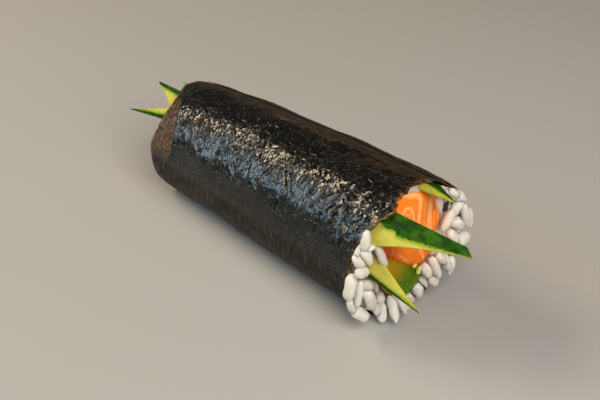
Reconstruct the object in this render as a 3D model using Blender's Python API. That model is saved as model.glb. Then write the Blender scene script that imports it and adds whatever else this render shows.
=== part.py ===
"""A salmon hand roll: a sheet of roasted nori wound round rice, salmon, avocado and cucumber.

The roll lies along X on a flat that its own weight pressed into it, with its open end at +X.
Metres, +Z up. The origin is the middle of the flat, so the roll stands on z = 0.
"""

import math
import random
from collections import namedtuple

import bmesh
import bpy
from mathutils import Matrix, Vector

MM = 0.001
CLEARANCE = 0.3 * MM  # left between pieces that touch

# The roll's outer form. A half sheet of nori is 105 mm wide, and that is the roll's length.
ROLL_LENGTH = 105 * MM
ROLL_RADIUS = 20.6 * MM  # half way along, before the belly is added
ROLL_FLARE = 1.3 * MM  # how much wider the open end is than the middle
ROLL_BELLY = 0.6 * MM
REST_SAG = 1.15 * MM  # what the flat takes off the round underside
HALF_LENGTH = ROLL_LENGTH / 2

# The sheet of nori
NORI_THICKNESS = 0.4 * MM
NORI_TURNS = 1.33
NORI_SEAM = math.radians(64)  # where its outer end lies, round from +Y towards the top
NORI_STEPS_ROUND = 46  # in one turn
NORI_STEPS_ALONG = 14
NORI_RAG = 0.45 * MM  # how far the torn ends wander from step to step
NORI_BUMP = 0.15 * MM
# Its soft waves: share of the bump's height, waves in one turn, radians per mm along, and phase
NORI_WAVES = ((1.0, 5, 0.11, 0.0), (0.7, 3, -0.17, 1.3), (0.6, 9, 0.29, 0.4))
NORI_SEED = 4
PINCH_DEPTH = 1.1 * MM  # the far end is pressed in a little on the side towards -Y
PINCH_LENGTH = 11 * MM
PINCH_ANGLE = math.radians(145)
PINCH_NARROWNESS = 6

# How far each end of the sheet reaches along X, at angles round the roll in degrees
NEAR_EDGE = {
    0: 52.0, 45: 53.6, 85: 54.2, 102: 53.2, 112: 53.8, 124: 56.2, 150: 51.8, 180: 49.8, 270: 49.0, 315: 50.2,
}
FAR_EDGE = {
    0: -53.5, 45: -54.2, 72: -55.8, 92: -56.0, 115: -51.4, 145: -49.6, 175: -52.3, 225: -54.2, 290: -53.2,
}

# Rice
RICE_NEAR_FACE = {0: 54.0, 50: 53.0, 120: 51.0, 180: 50.5, 225: 50.5, 270: 49.6, 300: 49.0, 325: 51.0}
RICE_FAR_FACE = -50.3 * MM
RICE_DOME = 0.8 * MM  # how far the middle of each packed face stands out
CORE_STEPS_ROUND = 40
CORE_CLEARANCE = 0.75 * MM  # inside the sheet, whose unevenness the packed rice doesn't follow
CORE_STATIONS = 4
GRAIN_LENGTH = 7.4 * MM
GRAIN_WIDTH = 3.0 * MM
GRAIN_LENGTHS = (0.82, 1.08)  # the range of scattered grains, as shares of the usual grain
GRAIN_WIDTHS = (0.9, 1.06)
GRAIN_FLATNESS = 0.88
GRAIN_SIDES = 5
GRAIN_RINGS = ((-0.7, 0.7), (0.0, 1.0), (0.7, 0.7))  # along the grain and out, as shares of its half sizes
GRAIN_NUDGE = 0.5 * MM
GRAIN_CLEARANCE = 0.4 * MM
GRAIN_FLOOR = 0.2 * MM
GRAIN_REACH = 0.94  # how near the outside of the roll a scattered grain's middle may lie
STANDOUT_TRIES = 8
SCATTER_TRIES = 60  # for each grain wanted
SCATTER_DEPTH = 0.5 * MM  # how far a layer's grains lie from its middle
FACE_MARGIN = 1.5 * MM  # a scattered grain's middle keeps this far from being in front of a filling
# Layers of scattered grains: towards which end, mm out from the packed face, how many, how far
# apart in mm, and the steepest lean
RICE_LAYERS = (
    (1, 0.4, 44, 3.5, 0.4),
    (1, 2.2, 32, 3.8, 0.5),
    (-1, 0.3, 32, 3.8, 0.4),
    (-1, 1.8, 10, 5.0, 0.4),
)
RICE_SEED = 11

CHANNEL_CLEARANCE = 0.35 * MM

# Grains that stand out of the open end: where the middle lies (degrees round the roll and mm from
# its axis and along X), which way the grain points across the end, its lean towards +X and its length.
Grain = namedtuple("Grain", "angle radius x heading lean length")
STANDOUT_GRAINS = (
    Grain(18, 19.3, 56.6, -66, 0, 8),
    Grain(-4, 19, 56.6, -18, 10, 6),
    Grain(43, 20, 56, -46, 0, 7),
    Grain(36, 17, 55.5, -58, 0, 7),
    Grain(16, 16, 56.4, -54, 10, 6.5),
    Grain(-29, 14, 56, -56, 0, 8),
    Grain(-32, 19, 55, -126, 0, 6),
    Grain(-44, 12, 55.5, -58, 20, 9),
    Grain(-38, 19.3, 53.8, -120, 0, 7.5),
    Grain(-48, 19.6, 52.6, -62, 0, 7),
    Grain(-56, 16, 54, 0, 10, 6),
    Grain(-62, 18, 51.6, -20, 0, 7),
    Grain(-75, 16.5, 53, -44, 0, 7),
    Grain(-86, 17.8, 51.4, -15, 0, 7),
    Grain(-100, 17, 53.5, -54, 0, 8),
    Grain(-108, 15, 55, -70, 15, 7.5),
    Grain(-114, 17.8, 55.6, -94, 34, 8.4),
    Grain(-122, 20, 54.4, -106, 24, 7.6),
    Grain(-131, 18.4, 53.6, -80, 0, 7.5),
    Grain(-152, 19, 54.5, -74, 0, 7.5),
    Grain(-137, 20.6, 52, -50, 0, 7),
    Grain(-147, 22.8, 52.4, -49, 12, 8.2),
    Grain(-158, 22.4, 52.2, -65, 0, 7),
    Grain(-167, 20.5, 53, -86, 0, 7.5),
    Grain(-176, 21.6, 52.3, -112, 0, 6),
    Grain(176, 19.5, 55, -17, 15, 6.5),
    Grain(162, 18.5, 54.6, -61, 0, 6.5),
    Grain(151, 19.2, 53.8, -66, 0, 7.2),
    Grain(162, 13, 55, -61, 25, 8.5),
)

COLOURS = {
    "nori": ((0.012, 0.016, 0.012), 0.32),
    "rice": ((0.80, 0.77, 0.70), 0.42),
    "salmon": ((0.86, 0.27, 0.07), 0.38),
    "avocado": ((0.55, 0.58, 0.10), 0.50),
    "cucumber": ((0.30, 0.47, 0.07), 0.35),
}

# Both ends of a long filling, as corners of its cut face. They are measured in mm from the roll's
# axis where the roll has its radius at the open end, and shrink with the roll towards the far end.
SALMON_NEAR = (
    (-6.0, 18.2), (3.2, 16.7), (10.2, 14.4), (11.2, 9.6), (13.0, 4.4),
    (9.8, -4.2), (5.2, -7.4), (-2.0, -4.6), (-9.2, 2.2), (-12.8, 7.0),
)
SALMON_FAR = (
    (-5.0, 10.6), (2.6, 13.4), (9.0, 12.4), (11.2, 7.4), (12.4, 1.6),
    (9.4, -6.0), (4.4, -8.6), (-3.0, -6.0), (-9.4, 0.2), (-10.8, 5.0),
)
AVOCADO_NEAR = ((-10.6, 2.0), (1.8, -8.8), (4.6, -11.8), (-1.0, -16.0), (-8.6, -11.8), (-12.4, -3.8))
AVOCADO_FAR = ((-10.6, -2.4), (-0.6, -10.6), (2.6, -13.0), (-2.6, -15.8), (-9.4, -12.4), (-13.2, -7.0))
SALMON_ENDS = (52.2 * MM, -51.5 * MM)
AVOCADO_ENDS = (52.9 * MM, -51.0 * MM)
FILLING_DOME = 1.0 * MM  # how far the middle of a cut face stands out
FILLING_DRAW_IN = 0.14
FILLING_STATIONS = 6

# One end of a cucumber stick, in mm and degrees. A straight edge runs along the whole stick and ends
# in its tip. Two strips of surface leave that edge one after the other, each at its angle round X
# from +Y. Between where the cut begins and the tip, each strip narrows to its least share by a power,
# and the strips' far side runs ahead of the edge by the slant.
StickEnd = namedtuple(
    "StickEnd",
    "cut tip first_angle first_width first_pare second_angle second_width second_pare thickness slant",
)
STICKS = {
    "cucumber_upper": (
        StickEnd((-54.0, -3.4, 34.8), (-65.0, -5.0, 35.4), 205, 1.6, (0.3, 1), 226, 5.2, (0.05, 1.3), 2.6, 0),
        StickEnd((54.0, -10.6, 38.4), (83.2, -11.3, 40.3), 226, 6.4, (0.26, 1), 232, 4.9, (0.3, 2.6), 3, 3.2),
    ),
    "cucumber_lower": (
        StickEnd((-51.5, -12.4, 27.9), (-75.5, -11.6, 23.2), 98, 1.3, (0.2, 1), 48, 3.4, (0.05, 1.4), 1.6, 0),
        StickEnd((52.2, -16.2, 18.7), (73.3, -16.6, 17.2), 108, 3, (0.1, 1), 56, 5.4, (0.05, 1.2), 2.2, 0),
    ),
    "cucumber_sliver": (
        StickEnd((-50.0, 3.6, 33.6), (-52.4, 3.6, 33.6), 60, 1.4, (0.9, 1), -22, 5.0, (0.9, 1), 1.3, 0),
        StickEnd((54.0, 3.4, 39.4), (64.6, 4.9, 39.2), 62, 1.7, (0.05, 1), -20, 5.6, (0.05, 1.1), 1.3, 0),
    ),
}
STICK_BACK = ((0.92, 0.75), (0.5, 1.0), (0.08, 0.75))  # corners behind the outer face, along it and in
STICK_THINNING = 0.8
STICK_STATIONS_INSIDE = 4
STICK_STATIONS_CUT = 6
TINY = 1e-12


def ring_value(marks, angle):
    """Reads a value given at a few angles in degrees, with a smooth passage between them."""
    degrees = math.degrees(angle) % 360
    angles = sorted(marks)
    for low, high in zip(angles, angles[1:] + [angles[0] + 360]):
        if low <= degrees < high:
            share = (degrees - low) / (high - low)
            share = share * share * (3 - 2 * share)
            return marks[low] * (1 - share) + marks[high % 360] * share
    return marks[angles[0]]


def blend(low, high, share):
    return low + (high - low) * share


def plain_radius(x):
    """The roll's radius where nothing dents it."""
    along = x / HALF_LENGTH
    return ROLL_RADIUS + ROLL_FLARE * along + ROLL_BELLY * (1 - along * along)


def axis_height(x):
    return plain_radius(x) - REST_SAG


def pinch(x, angle):
    """How far the far end is pressed in."""
    along = max(0.0, 1 - (x + HALF_LENGTH) / PINCH_LENGTH)
    return PINCH_DEPTH * along ** 2 * math.cos((angle - PINCH_ANGLE) / 2) ** PINCH_NARROWNESS


def bumps(x, angle):
    """Soft unevenness of the wrapped sheet, the same in each of its layers."""
    height = 0.0
    for share, count, along, phase in NORI_WAVES:
        height += share * math.sin(count * angle + along * x / MM + phase)
    return NORI_BUMP * height


def roll_radius(x, angle):
    """The sheet's mean outer surface."""
    return plain_radius(x) + bumps(x, angle) - pinch(x, angle)


def on_roll(x, angle, radius):
    return Vector((x, radius * math.cos(angle), axis_height(x) + radius * math.sin(angle)))


def material(name):
    colour, roughness = COLOURS[name]
    made = bpy.data.materials.new(name)
    made.use_nodes = True
    shader = made.node_tree.nodes["Principled BSDF"]
    shader.inputs["Base Color"].default_value = (*colour, 1)
    shader.inputs["Roughness"].default_value = roughness
    shader.inputs["Metallic"].default_value = 0.0
    return made


def object_from(name, build, finish, collection=None):
    """Makes a named object from a bmesh whose faces are turned outwards."""
    bmesh.ops.recalc_face_normals(build, faces=build.faces)
    mesh = bpy.data.meshes.new(name)
    build.to_mesh(mesh)
    build.free()
    mesh.materials.append(finish)
    made = bpy.data.objects.new(name, mesh)
    (collection or bpy.context.scene.collection).objects.link(made)
    return made


def loft(rings):
    """A closed body through rings of equal count. A ring of one point makes a pointed end."""
    build = bmesh.new()
    made = [[build.verts.new(point) for point in ring] for ring in rings]
    for low, high in zip(made, made[1:]):
        count = max(len(low), len(high))
        for i in range(count):
            corners = [low[i % len(low)], low[(i + 1) % count % len(low)]]
            corners += [high[(i + 1) % count % len(high)], high[i % len(high)]]
            build.faces.new(list(dict.fromkeys(corners)))
    for end in (made[0], made[-1]):
        if len(end) > 2:
            build.faces.new(end)
    bmesh.ops.triangulate(build, faces=[face for face in build.faces if len(face.verts) > 4])
    return build


def rounded(corners):
    """Cuts the corners off a closed outline, which leaves two points on each of its sides."""
    cut = []
    for here, ahead in zip(corners, corners[1:] + corners[:1]):
        cut += [here.lerp(ahead, 0.25), here.lerp(ahead, 0.75)]
    return cut


def grown(outline, extra):
    """Moves a closed outline outwards by extra, square to its sides."""
    count = len(outline)
    area = sum(outline[i - 1].cross(outline[i]) for i in range(count))
    turn = -1 if area > 0 else 1
    moved = []
    for i in range(count):
        along = (outline[(i + 1) % count] - outline[i - 1]).normalized()
        moved.append(outline[i] + Vector((-along.y, along.x)) * turn * extra)
    return moved


def strip_section(near, far, x, ends):
    """The cut face of a long filling at x, as points (y, z)."""
    share = (ends[0] - x) / (ends[0] - ends[1])
    scale = plain_radius(x) / plain_radius(HALF_LENGTH) * MM
    corners = [Vector(a).lerp(Vector(b), share) * scale for a, b in zip(near, far)]
    return [point + Vector((0, axis_height(x))) for point in rounded(corners)]


def salmon_section(x):
    return strip_section(SALMON_NEAR, SALMON_FAR, x, SALMON_ENDS)


def avocado_section(x):
    return strip_section(AVOCADO_NEAR, AVOCADO_FAR, x, AVOCADO_ENDS)


def polar(angle_degrees, length):
    angle = math.radians(angle_degrees)
    return Vector((math.cos(angle), math.sin(angle))) * length


def stick_ring(end, share):
    """The six corners of a stick's section, at a share of the way from where its cut begins to its tip."""
    point = Vector(end.cut).lerp(Vector(end.tip), share)
    widths = []
    for width, (least, power) in ((end.first_width, end.first_pare), (end.second_width, end.second_pare)):
        widths.append(width * (1 - share * (1 - least)) ** power)
    middle = point.yz + polar(end.first_angle, widths[0])
    last = middle + polar(end.second_angle, widths[1])
    across = (last - point.yz).normalized()
    inward = Vector((-across.y, across.x))
    if inward.dot(Vector((0, axis_height(0) / MM)) - middle) < 0:
        inward = -inward
    shrink = (widths[0] + widths[1]) / (end.first_width + end.second_width)
    depth = end.thickness * shrink ** STICK_THINNING
    corners = [(0.0, point.yz), (widths[0] / (widths[0] + widths[1]), middle), (1.0, last)]
    for along, deep in STICK_BACK:
        corners.append((along, point.yz.lerp(last, along) + inward * depth * deep))
    return [Vector((point.x + end.slant * share * along, *corner)) * MM for along, corner in corners]


def stick_rings(ends):
    """All the rings of a stick, from its far tip to its near one."""
    shares = [step / STICK_STATIONS_CUT for step in range(STICK_STATIONS_CUT + 1)]
    far = [stick_ring(ends[0], share) for share in reversed(shares)]
    near = [stick_ring(ends[1], share) for share in shares]
    inside = []
    for step in range(1, STICK_STATIONS_INSIDE):
        share = step / STICK_STATIONS_INSIDE
        inside.append([low.lerp(high, share) for low, high in zip(far[-1], near[0])])
    return far + inside + near


def section_at(rings, x):
    """The outline (y, z) in which a plane across X cuts lofted rings, or None past their ends."""
    for low, high in zip(rings, rings[1:]):
        low_x, high_x = (sum(point.x for point in ring) / len(ring) for ring in (low, high))
        if low_x <= x <= high_x and high_x > low_x:
            share = (x - low_x) / (high_x - low_x)
            return [a.lerp(b, share).yz for a, b in zip(low, high)]
    return None


def filling_rings():
    """Every long filling as rings along X."""
    fillings = {name: stick_rings(ends) for name, ends in STICKS.items()}
    for name, section, (near, far) in (
        ("salmon", salmon_section, SALMON_ENDS),
        ("avocado", avocado_section, AVOCADO_ENDS),
    ):
        stations = [blend(far, near, step / FILLING_STATIONS) for step in range(FILLING_STATIONS + 1)]
        rings = [[Vector((x, *point)) for point in section(x)] for x in stations]
        fillings[name] = [dome_ring(rings[0], -1), *rings, dome_ring(rings[-1], 1)]
    return fillings


def dome_ring(ring, way):
    """A copy of an end ring, moved out along X and drawn in towards its middle, so the end isn't flat."""
    middle = sum(ring, Vector()) / len(ring)
    out = Vector((way * FILLING_DOME, 0, 0))
    return [point.lerp(middle, FILLING_DRAW_IN) + out for point in ring]


def make_nori(finish):
    """The sheet, wound once and a third with a gap between its layers, in one closed body."""
    random.seed(NORI_SEED)
    pitch = NORI_THICKNESS + CLEARANCE
    steps = round(NORI_TURNS * NORI_STEPS_ROUND)
    rag = [(random.uniform(-1, 1), random.uniform(-1, 1)) for _ in range(steps + 1)]
    build = bmesh.new()
    outer, inner = [], []
    for step in range(steps + 1):
        turn = step / NORI_STEPS_ROUND
        angle = NORI_SEAM - turn * math.tau
        near = ring_value(NEAR_EDGE, angle) * MM + rag[step][0] * NORI_RAG
        far = ring_value(FAR_EDGE, angle) * MM + rag[step][1] * NORI_RAG
        for side, depth in ((outer, 0.0), (inner, NORI_THICKNESS)):
            row = []
            for station in range(NORI_STEPS_ALONG):
                x = blend(far, near, station / (NORI_STEPS_ALONG - 1))
                radius = roll_radius(x, angle) + pitch * (0.5 - turn) - depth
                point = on_roll(x, angle, radius)
                point.z = max(point.z, depth)
                row.append(build.verts.new(point))
            side.append(row)
    for step in range(steps):
        for station in range(NORI_STEPS_ALONG - 1):
            for side in (outer, inner):
                a, b = side[step], side[step + 1]
                build.faces.new((a[station], a[station + 1], b[station + 1], b[station]))
        for station in (0, -1):
            a, b = outer[step][station], outer[step + 1][station]
            build.faces.new((a, b, inner[step + 1][station], inner[step][station]))
    for step in (0, -1):
        for station in range(NORI_STEPS_ALONG - 1):
            a, b = outer[step], inner[step]
            build.faces.new((a[station], a[station + 1], b[station + 1], b[station]))
    return object_from("nori_wrap", build, finish)


def sheet_inside(x, angle):
    """The radius of the sheet's innermost surface."""
    turn = (NORI_SEAM - angle) % math.tau / math.tau
    if turn < NORI_TURNS - 1 + 2 / CORE_STEPS_ROUND:
        turn += 1
    pitch = NORI_THICKNESS + CLEARANCE
    return roll_radius(x, angle) + pitch * (0.5 - turn) - NORI_THICKNESS


def make_core(finish):
    """Packed rice inside the sheet, before the fillings are cut out of it."""
    floor = NORI_THICKNESS + CLEARANCE
    rings = [[Vector((RICE_FAR_FACE - RICE_DOME, 0, axis_height(RICE_FAR_FACE)))]]
    for station in range(CORE_STATIONS):
        ring = []
        for step in range(CORE_STEPS_ROUND):
            angle = math.tau * step / CORE_STEPS_ROUND
            near = ring_value(RICE_NEAR_FACE, angle) * MM
            x = blend(RICE_FAR_FACE, near, station / (CORE_STATIONS - 1))
            point = on_roll(x, angle, sheet_inside(x, angle) - CORE_CLEARANCE)
            point.z = max(point.z, floor)
            ring.append(point)
        rings.append(ring)
    near = sum(point.x for point in ring) / len(ring)
    rings.append([Vector((near + RICE_DOME, 0, axis_height(near)))])
    return object_from("rice", loft(rings), finish)


def apply_boolean(target, operation, operand):
    """Joins or cuts target with every object of a collection, and leaves the result as its mesh."""
    modifier = target.modifiers.new(operation.lower(), "BOOLEAN")
    modifier.operation = operation
    modifier.operand_type = "COLLECTION"
    modifier.collection = operand
    modifier.solver = "MANIFOLD"
    graph = bpy.context.evaluated_depsgraph_get()
    result = bpy.data.meshes.new_from_object(target.evaluated_get(graph))
    target.modifiers.remove(modifier)
    target.data = result
    for used in list(operand.objects):
        bpy.data.objects.remove(used)
    bpy.data.collections.remove(operand)


def new_collection(name):
    made = bpy.data.collections.new(name)
    bpy.context.scene.collection.children.link(made)
    return made


def grain_rings(place, length, width):
    """One grain of cooked rice, plump and a little flattened, along the X of its place."""
    rings = [[Vector((-length / 2, 0, 0))]]
    for along, out in GRAIN_RINGS:
        ring = []
        for side in range(GRAIN_SIDES):
            angle = math.tau * (side + 0.5 * (along == 0)) / GRAIN_SIDES
            across = out * width / 2 * math.cos(angle)
            up = out * width / 2 * GRAIN_FLATNESS * math.sin(angle)
            ring.append(Vector((along * length / 2, across, up)))
        rings.append(ring)
    rings.append([Vector((length / 2, 0, 0))])
    return [[place @ point for point in ring] for ring in rings]


def grain_place(centre, heading, lean, roll):
    """Where a grain lies, from its heading across the roll's end and its lean towards +X."""
    turn = Matrix.Rotation(heading, 4, "X") @ Matrix.Rotation(math.pi / 2 - lean, 4, "Z")
    return Matrix.Translation(centre) @ turn @ Matrix.Rotation(roll, 4, "X")


def inside(outline, point):
    """Whether a point (y, z) lies in a closed outline."""
    found = False
    for here, ahead in zip(outline, outline[1:] + outline[:1]):
        if (here.y > point.y) != (ahead.y > point.y):
            crossing = here.x + (point.y - here.y) / (ahead.y - here.y) * (ahead.x - here.x)
            if point.x < crossing:
                found = not found
    return found


def outline_gap(outline, point):
    """Distance from a point (y, z) to a closed outline, less than zero inside it."""
    least = math.inf
    for here, ahead in zip(outline, outline[1:] + outline[:1]):
        side = ahead - here
        share = max(0.0, min(1.0, (point - here).dot(side) / max(side.length_squared, TINY)))
        least = min(least, (here + side * share - point).length)
    return -least if inside(outline, point) else least


def point_blocked(point, fillings):
    """Whether a point of a grain would touch a filling, the sheet or the floor."""
    if point.z < GRAIN_FLOOR:
        return True
    away = point.yz - Vector((0, axis_height(point.x)))
    angle = math.atan2(away.y, away.x)
    near, far = ring_value(NEAR_EDGE, angle) * MM, ring_value(FAR_EDGE, angle) * MM
    margin = NORI_RAG + CLEARANCE
    if far - margin < point.x < near + margin:
        limit = sheet_inside(min(max(point.x, far), near), angle) - GRAIN_CLEARANCE
        if away.length > limit or point.z < NORI_THICKNESS + CLEARANCE:
            return True
    for rings in fillings.values():
        outline = section_at(rings, point.x)
        if outline and outline_gap(outline, point.yz) < GRAIN_CLEARANCE:
            return True
    return False


def grain_blocked(rings, fillings):
    """Whether a grain would touch something, at its points and half way between them."""
    for ring, ahead in zip(rings, rings[1:]):
        for i in range(max(len(ring), len(ahead))):
            here, there = ring[i % len(ring)], ahead[i % len(ahead)]
            if point_blocked(here, fillings) or point_blocked((here + there) / 2, fillings):
                return True
    return point_blocked(rings[-1][0], fillings)


def standout_grains(fillings):
    """The chosen grains, each moved outwards until it is clear of what lies round it."""
    random.seed(RICE_SEED)
    for grain in STANDOUT_GRAINS:
        roll = random.uniform(0, math.pi)
        for nudge in range(STANDOUT_TRIES):
            x = grain.x * MM + GRAIN_NUDGE * nudge
            centre = on_roll(x, math.radians(grain.angle), grain.radius * MM)
            centre.z += axis_height(HALF_LENGTH) - axis_height(x)
            place = grain_place(centre, math.radians(grain.heading), math.radians(grain.lean), roll)
            rings = grain_rings(place, grain.length * MM, GRAIN_WIDTH)
            if not grain_blocked(rings, fillings):
                yield rings
                break


def in_front(centre, fillings):
    """Whether a grain with this middle would hide the cut face of the salmon or the avocado."""
    for name in ("salmon", "avocado"):
        rings = fillings[name]
        end = rings[-1] if centre.x > 0 else rings[0]
        if outline_gap([point.yz for point in end], centre.yz) < FACE_MARGIN:
            return True
    return False


def scattered_grains(fillings):
    """Grains over both packed faces, evenly spread, each clear of the fillings and the sheet."""
    random.seed(RICE_SEED)
    for way, layer_x, wanted, apart, steep in RICE_LAYERS:
        placed = []
        for _ in range(wanted * SCATTER_TRIES):
            if len(placed) == wanted:
                break
            angle = random.uniform(0, math.tau)
            radius = GRAIN_REACH * math.sqrt(random.random())
            face = ring_value(RICE_NEAR_FACE, angle) * MM if way > 0 else RICE_FAR_FACE
            x = face + way * layer_x * MM + random.uniform(-SCATTER_DEPTH, SCATTER_DEPTH)
            centre = on_roll(x, angle, radius * plain_radius(x))
            if in_front(centre, fillings) or any((centre - other).length < apart * MM for other in placed):
                continue
            lean = random.choice((-1, 1)) * random.uniform(0, steep)
            place = grain_place(centre, random.uniform(0, math.tau), lean, random.uniform(0, math.pi))
            length = GRAIN_LENGTH * random.uniform(*GRAIN_LENGTHS)
            rings = grain_rings(place, length, GRAIN_WIDTH * random.uniform(*GRAIN_WIDTHS))
            if not grain_blocked(rings, fillings):
                placed.append(centre)
                yield rings


def drop_scraps(target):
    """Keeps the largest piece of a mesh whose faces hang together by edges of their own."""
    build = bmesh.new()
    build.from_mesh(target.data)
    bmesh.ops.triangulate(build, faces=build.faces)
    left = set(build.faces)
    pieces = []
    while left:
        front = [left.pop()]
        piece = set(front)
        while front:
            for edge in front.pop().edges:
                found = left.intersection(edge.link_faces) if len(edge.link_faces) == 2 else set()
                left -= found
                piece |= found
                front += found
        pieces.append(piece)
    pieces.sort(key=len)
    scraps = [face for piece in pieces[:-1] for face in piece]
    bmesh.ops.delete(build, geom=scraps, context="FACES")
    build.to_mesh(target.data)
    build.free()


def make_rice(fillings, finish):
    """The packed core with the fillings' channels cut through it and the loose grains fused on."""
    rice = make_core(finish)
    channels = new_collection("channels")
    for name, rings in fillings.items():
        wide = []
        for ring in rings:
            outline = grown([point.yz for point in ring], CHANNEL_CLEARANCE)
            wide.append([Vector((point.x, *corner)) for point, corner in zip(ring, outline)])
        object_from(f"{name}_channel", loft(wide), finish, channels)
    apply_boolean(rice, "DIFFERENCE", channels)
    grains = new_collection("grains")
    for made in (standout_grains, scattered_grains):
        for count, grain in enumerate(made(fillings)):
            object_from(f"{made.__name__}_{count}", loft(grain), finish, grains)
    apply_boolean(rice, "UNION", grains)
    drop_scraps(rice)
    return rice


def main():
    for old in list(bpy.data.objects):
        bpy.data.objects.remove(old)
    finishes = {name: material(name) for name in COLOURS}
    fillings = filling_rings()
    make_nori(finishes["nori"])
    make_rice(fillings, finishes["rice"])
    object_from("salmon", loft(fillings["salmon"]), finishes["salmon"])
    object_from("avocado", loft(fillings["avocado"]), finishes["avocado"])
    for name in STICKS:
        object_from(name, loft(fillings[name]), finishes["cucumber"])


main()
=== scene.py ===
"""Salmon hand roll: crinkled nori round real grains of rice, salmon, avocado and cucumber.

Laid out as an add-on and run as a script. Metres, +Z up. The roll lies along X, open end at +X,
and every piece stands where the frame's own piece stands. Lengths are written in mm and are
turned into metres where a mesh is made. Angles go round the roll from +Y, with the top at 90.
"""

import math
import random
from collections import namedtuple

import bpy
import numpy as np
from bpy.props import FloatProperty, FloatVectorProperty, IntProperty, PointerProperty
from mathutils import Matrix, Vector, noise


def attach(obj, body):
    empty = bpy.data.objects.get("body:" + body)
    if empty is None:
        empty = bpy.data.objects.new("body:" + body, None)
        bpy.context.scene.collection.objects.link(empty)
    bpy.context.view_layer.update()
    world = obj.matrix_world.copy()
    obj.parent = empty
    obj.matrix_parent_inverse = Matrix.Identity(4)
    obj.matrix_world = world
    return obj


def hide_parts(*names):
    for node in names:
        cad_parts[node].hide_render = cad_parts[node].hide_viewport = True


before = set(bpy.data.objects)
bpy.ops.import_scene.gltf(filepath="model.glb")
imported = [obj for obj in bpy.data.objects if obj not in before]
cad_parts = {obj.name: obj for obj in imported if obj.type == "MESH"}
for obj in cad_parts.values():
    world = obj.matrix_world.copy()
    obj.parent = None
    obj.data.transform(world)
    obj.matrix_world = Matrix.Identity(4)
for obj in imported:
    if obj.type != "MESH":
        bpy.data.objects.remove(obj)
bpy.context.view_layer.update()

bl_info = {
    "name": "Salmon Hand Roll",
    "version": (1, 0, 0),
    "blender": (4, 5, 0),
    "location": "3D View > Sidebar > Hand Roll",
    "description": "Builds a salmon hand roll piece by piece round its solid model",
    "category": "Add Mesh",
}

MM = 0.001
TINY = 1e-12

# The roll's form, in mm, as its solid model has it
HALF_LENGTH = 52.5
ROLL_RADIUS = 20.6
ROLL_FLARE = 1.3
ROLL_BELLY = 0.6
REST_SAG = 1.15
NORI_THICKNESS = 0.4
LAYER_GAP = 0.3
LAYER_PITCH = NORI_THICKNESS + LAYER_GAP
NORI_TURNS = 1.33
NORI_SEAM = math.radians(64)
NORI_STEPS_ROUND = 46
NORI_RAG = 0.45
NORI_BUMP = 0.15
NORI_WAVES = ((1.0, 5, 0.11, 0.0), (0.7, 3, -0.17, 1.3), (0.6, 9, 0.29, 0.4))
NORI_SEED = 4
PINCH_DEPTH = 1.1
PINCH_LENGTH = 11
PINCH_ANGLE = math.radians(145)
PINCH_NARROWNESS = 6
NEAR_EDGE = {
    0: 52.0, 45: 53.6, 85: 54.2, 102: 53.2, 112: 53.8, 124: 56.2, 150: 51.8, 180: 49.8,
    270: 49.0, 315: 50.2,
}
FAR_EDGE = {
    0: -53.5, 45: -54.2, 72: -55.8, 92: -56.0, 115: -51.4, 145: -49.6, 175: -52.3, 225: -54.2,
    290: -53.2,
}

# The sheet as the scene draws it: thinner, with its seam pressed down
SHEET_EDGE = 0.30
SEAM_PRESSED = 0.33
SEAM_SHARE = 0.035
INNER_COLUMNS = 12
HEM_COLUMNS = 4
# Its fine steps end soon after the first turn, for the rest of it is out of sight
SHOWN_TURNS = 1.02
HIDDEN_STEPS_SHARE = 0.1
# Where its torn edge runs at the open end, more exactly than on the solid
TORN_EDGE = {
    0: 52.0, 45: 53.6, 80: 54.2, 96: 54.2, 104: 55.1, 112: 55.9, 119: 56.6, 127: 56.3,
    135: 55.5, 143: 54.3, 150: 52.9, 165: 52.7, 174: 52.0, 185: 50.4, 230: 49.4, 270: 49.0,
    315: 50.2,
}
# Its creases: (angle, x) at both ends in degrees and mm, depth and width in mm
CREASES = (
    ((121, -29.8), (153, -23.4), 0.95, 1.15),
    ((112, -39.0), (122, -28.8), -0.30, 0.45),
    ((131, 15.5), (148, 21.5), 0.50, 0.42),
    ((130, 33.0), (140, 34.4), 0.42, 0.40),
    ((139, -6.1), (148, -4.0), 0.40, 0.42),
    ((146, -7.2), (157, -4.2), 0.35, 0.45),
    ((139, -0.6), (147, 1.4), 0.30, 0.38),
    ((127, 2.0), (136, 4.5), 0.28, 0.35),
    ((146, 8.0), (137, 10.2), 0.32, 0.38),
    ((131, 17.0), (125, 18.4), 0.30, 0.36),
    ((136, 22.4), (129, 23.1), 0.30, 0.36),
    ((141, 28.3), (135, 29.6), 0.32, 0.36),
    ((145, 37.3), (137, 39.8), 0.36, 0.38),
    ((150, 6.0), (158, 8.0), 0.30, 0.36),
    ((138, 44.0), (150, 47.0), 0.40, 0.38),
    ((86, 18.0), (77, 55.0), -0.25, 0.50),
)
# A crease deeper than this takes the thin places' colour, painted light shining through the sheet
GLOWING_CREASE = 0.6
# The far end is folded in along this line, (degrees round the roll, mm along X)
FOLD_LINE = (
    (80, -57.0), (92, -55.5), (117, -46.2), (129, -42.3), (141, -39.7), (155, -38.1),
    (170, -38.4), (190, -44.0), (215, -54.0),
)

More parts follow.
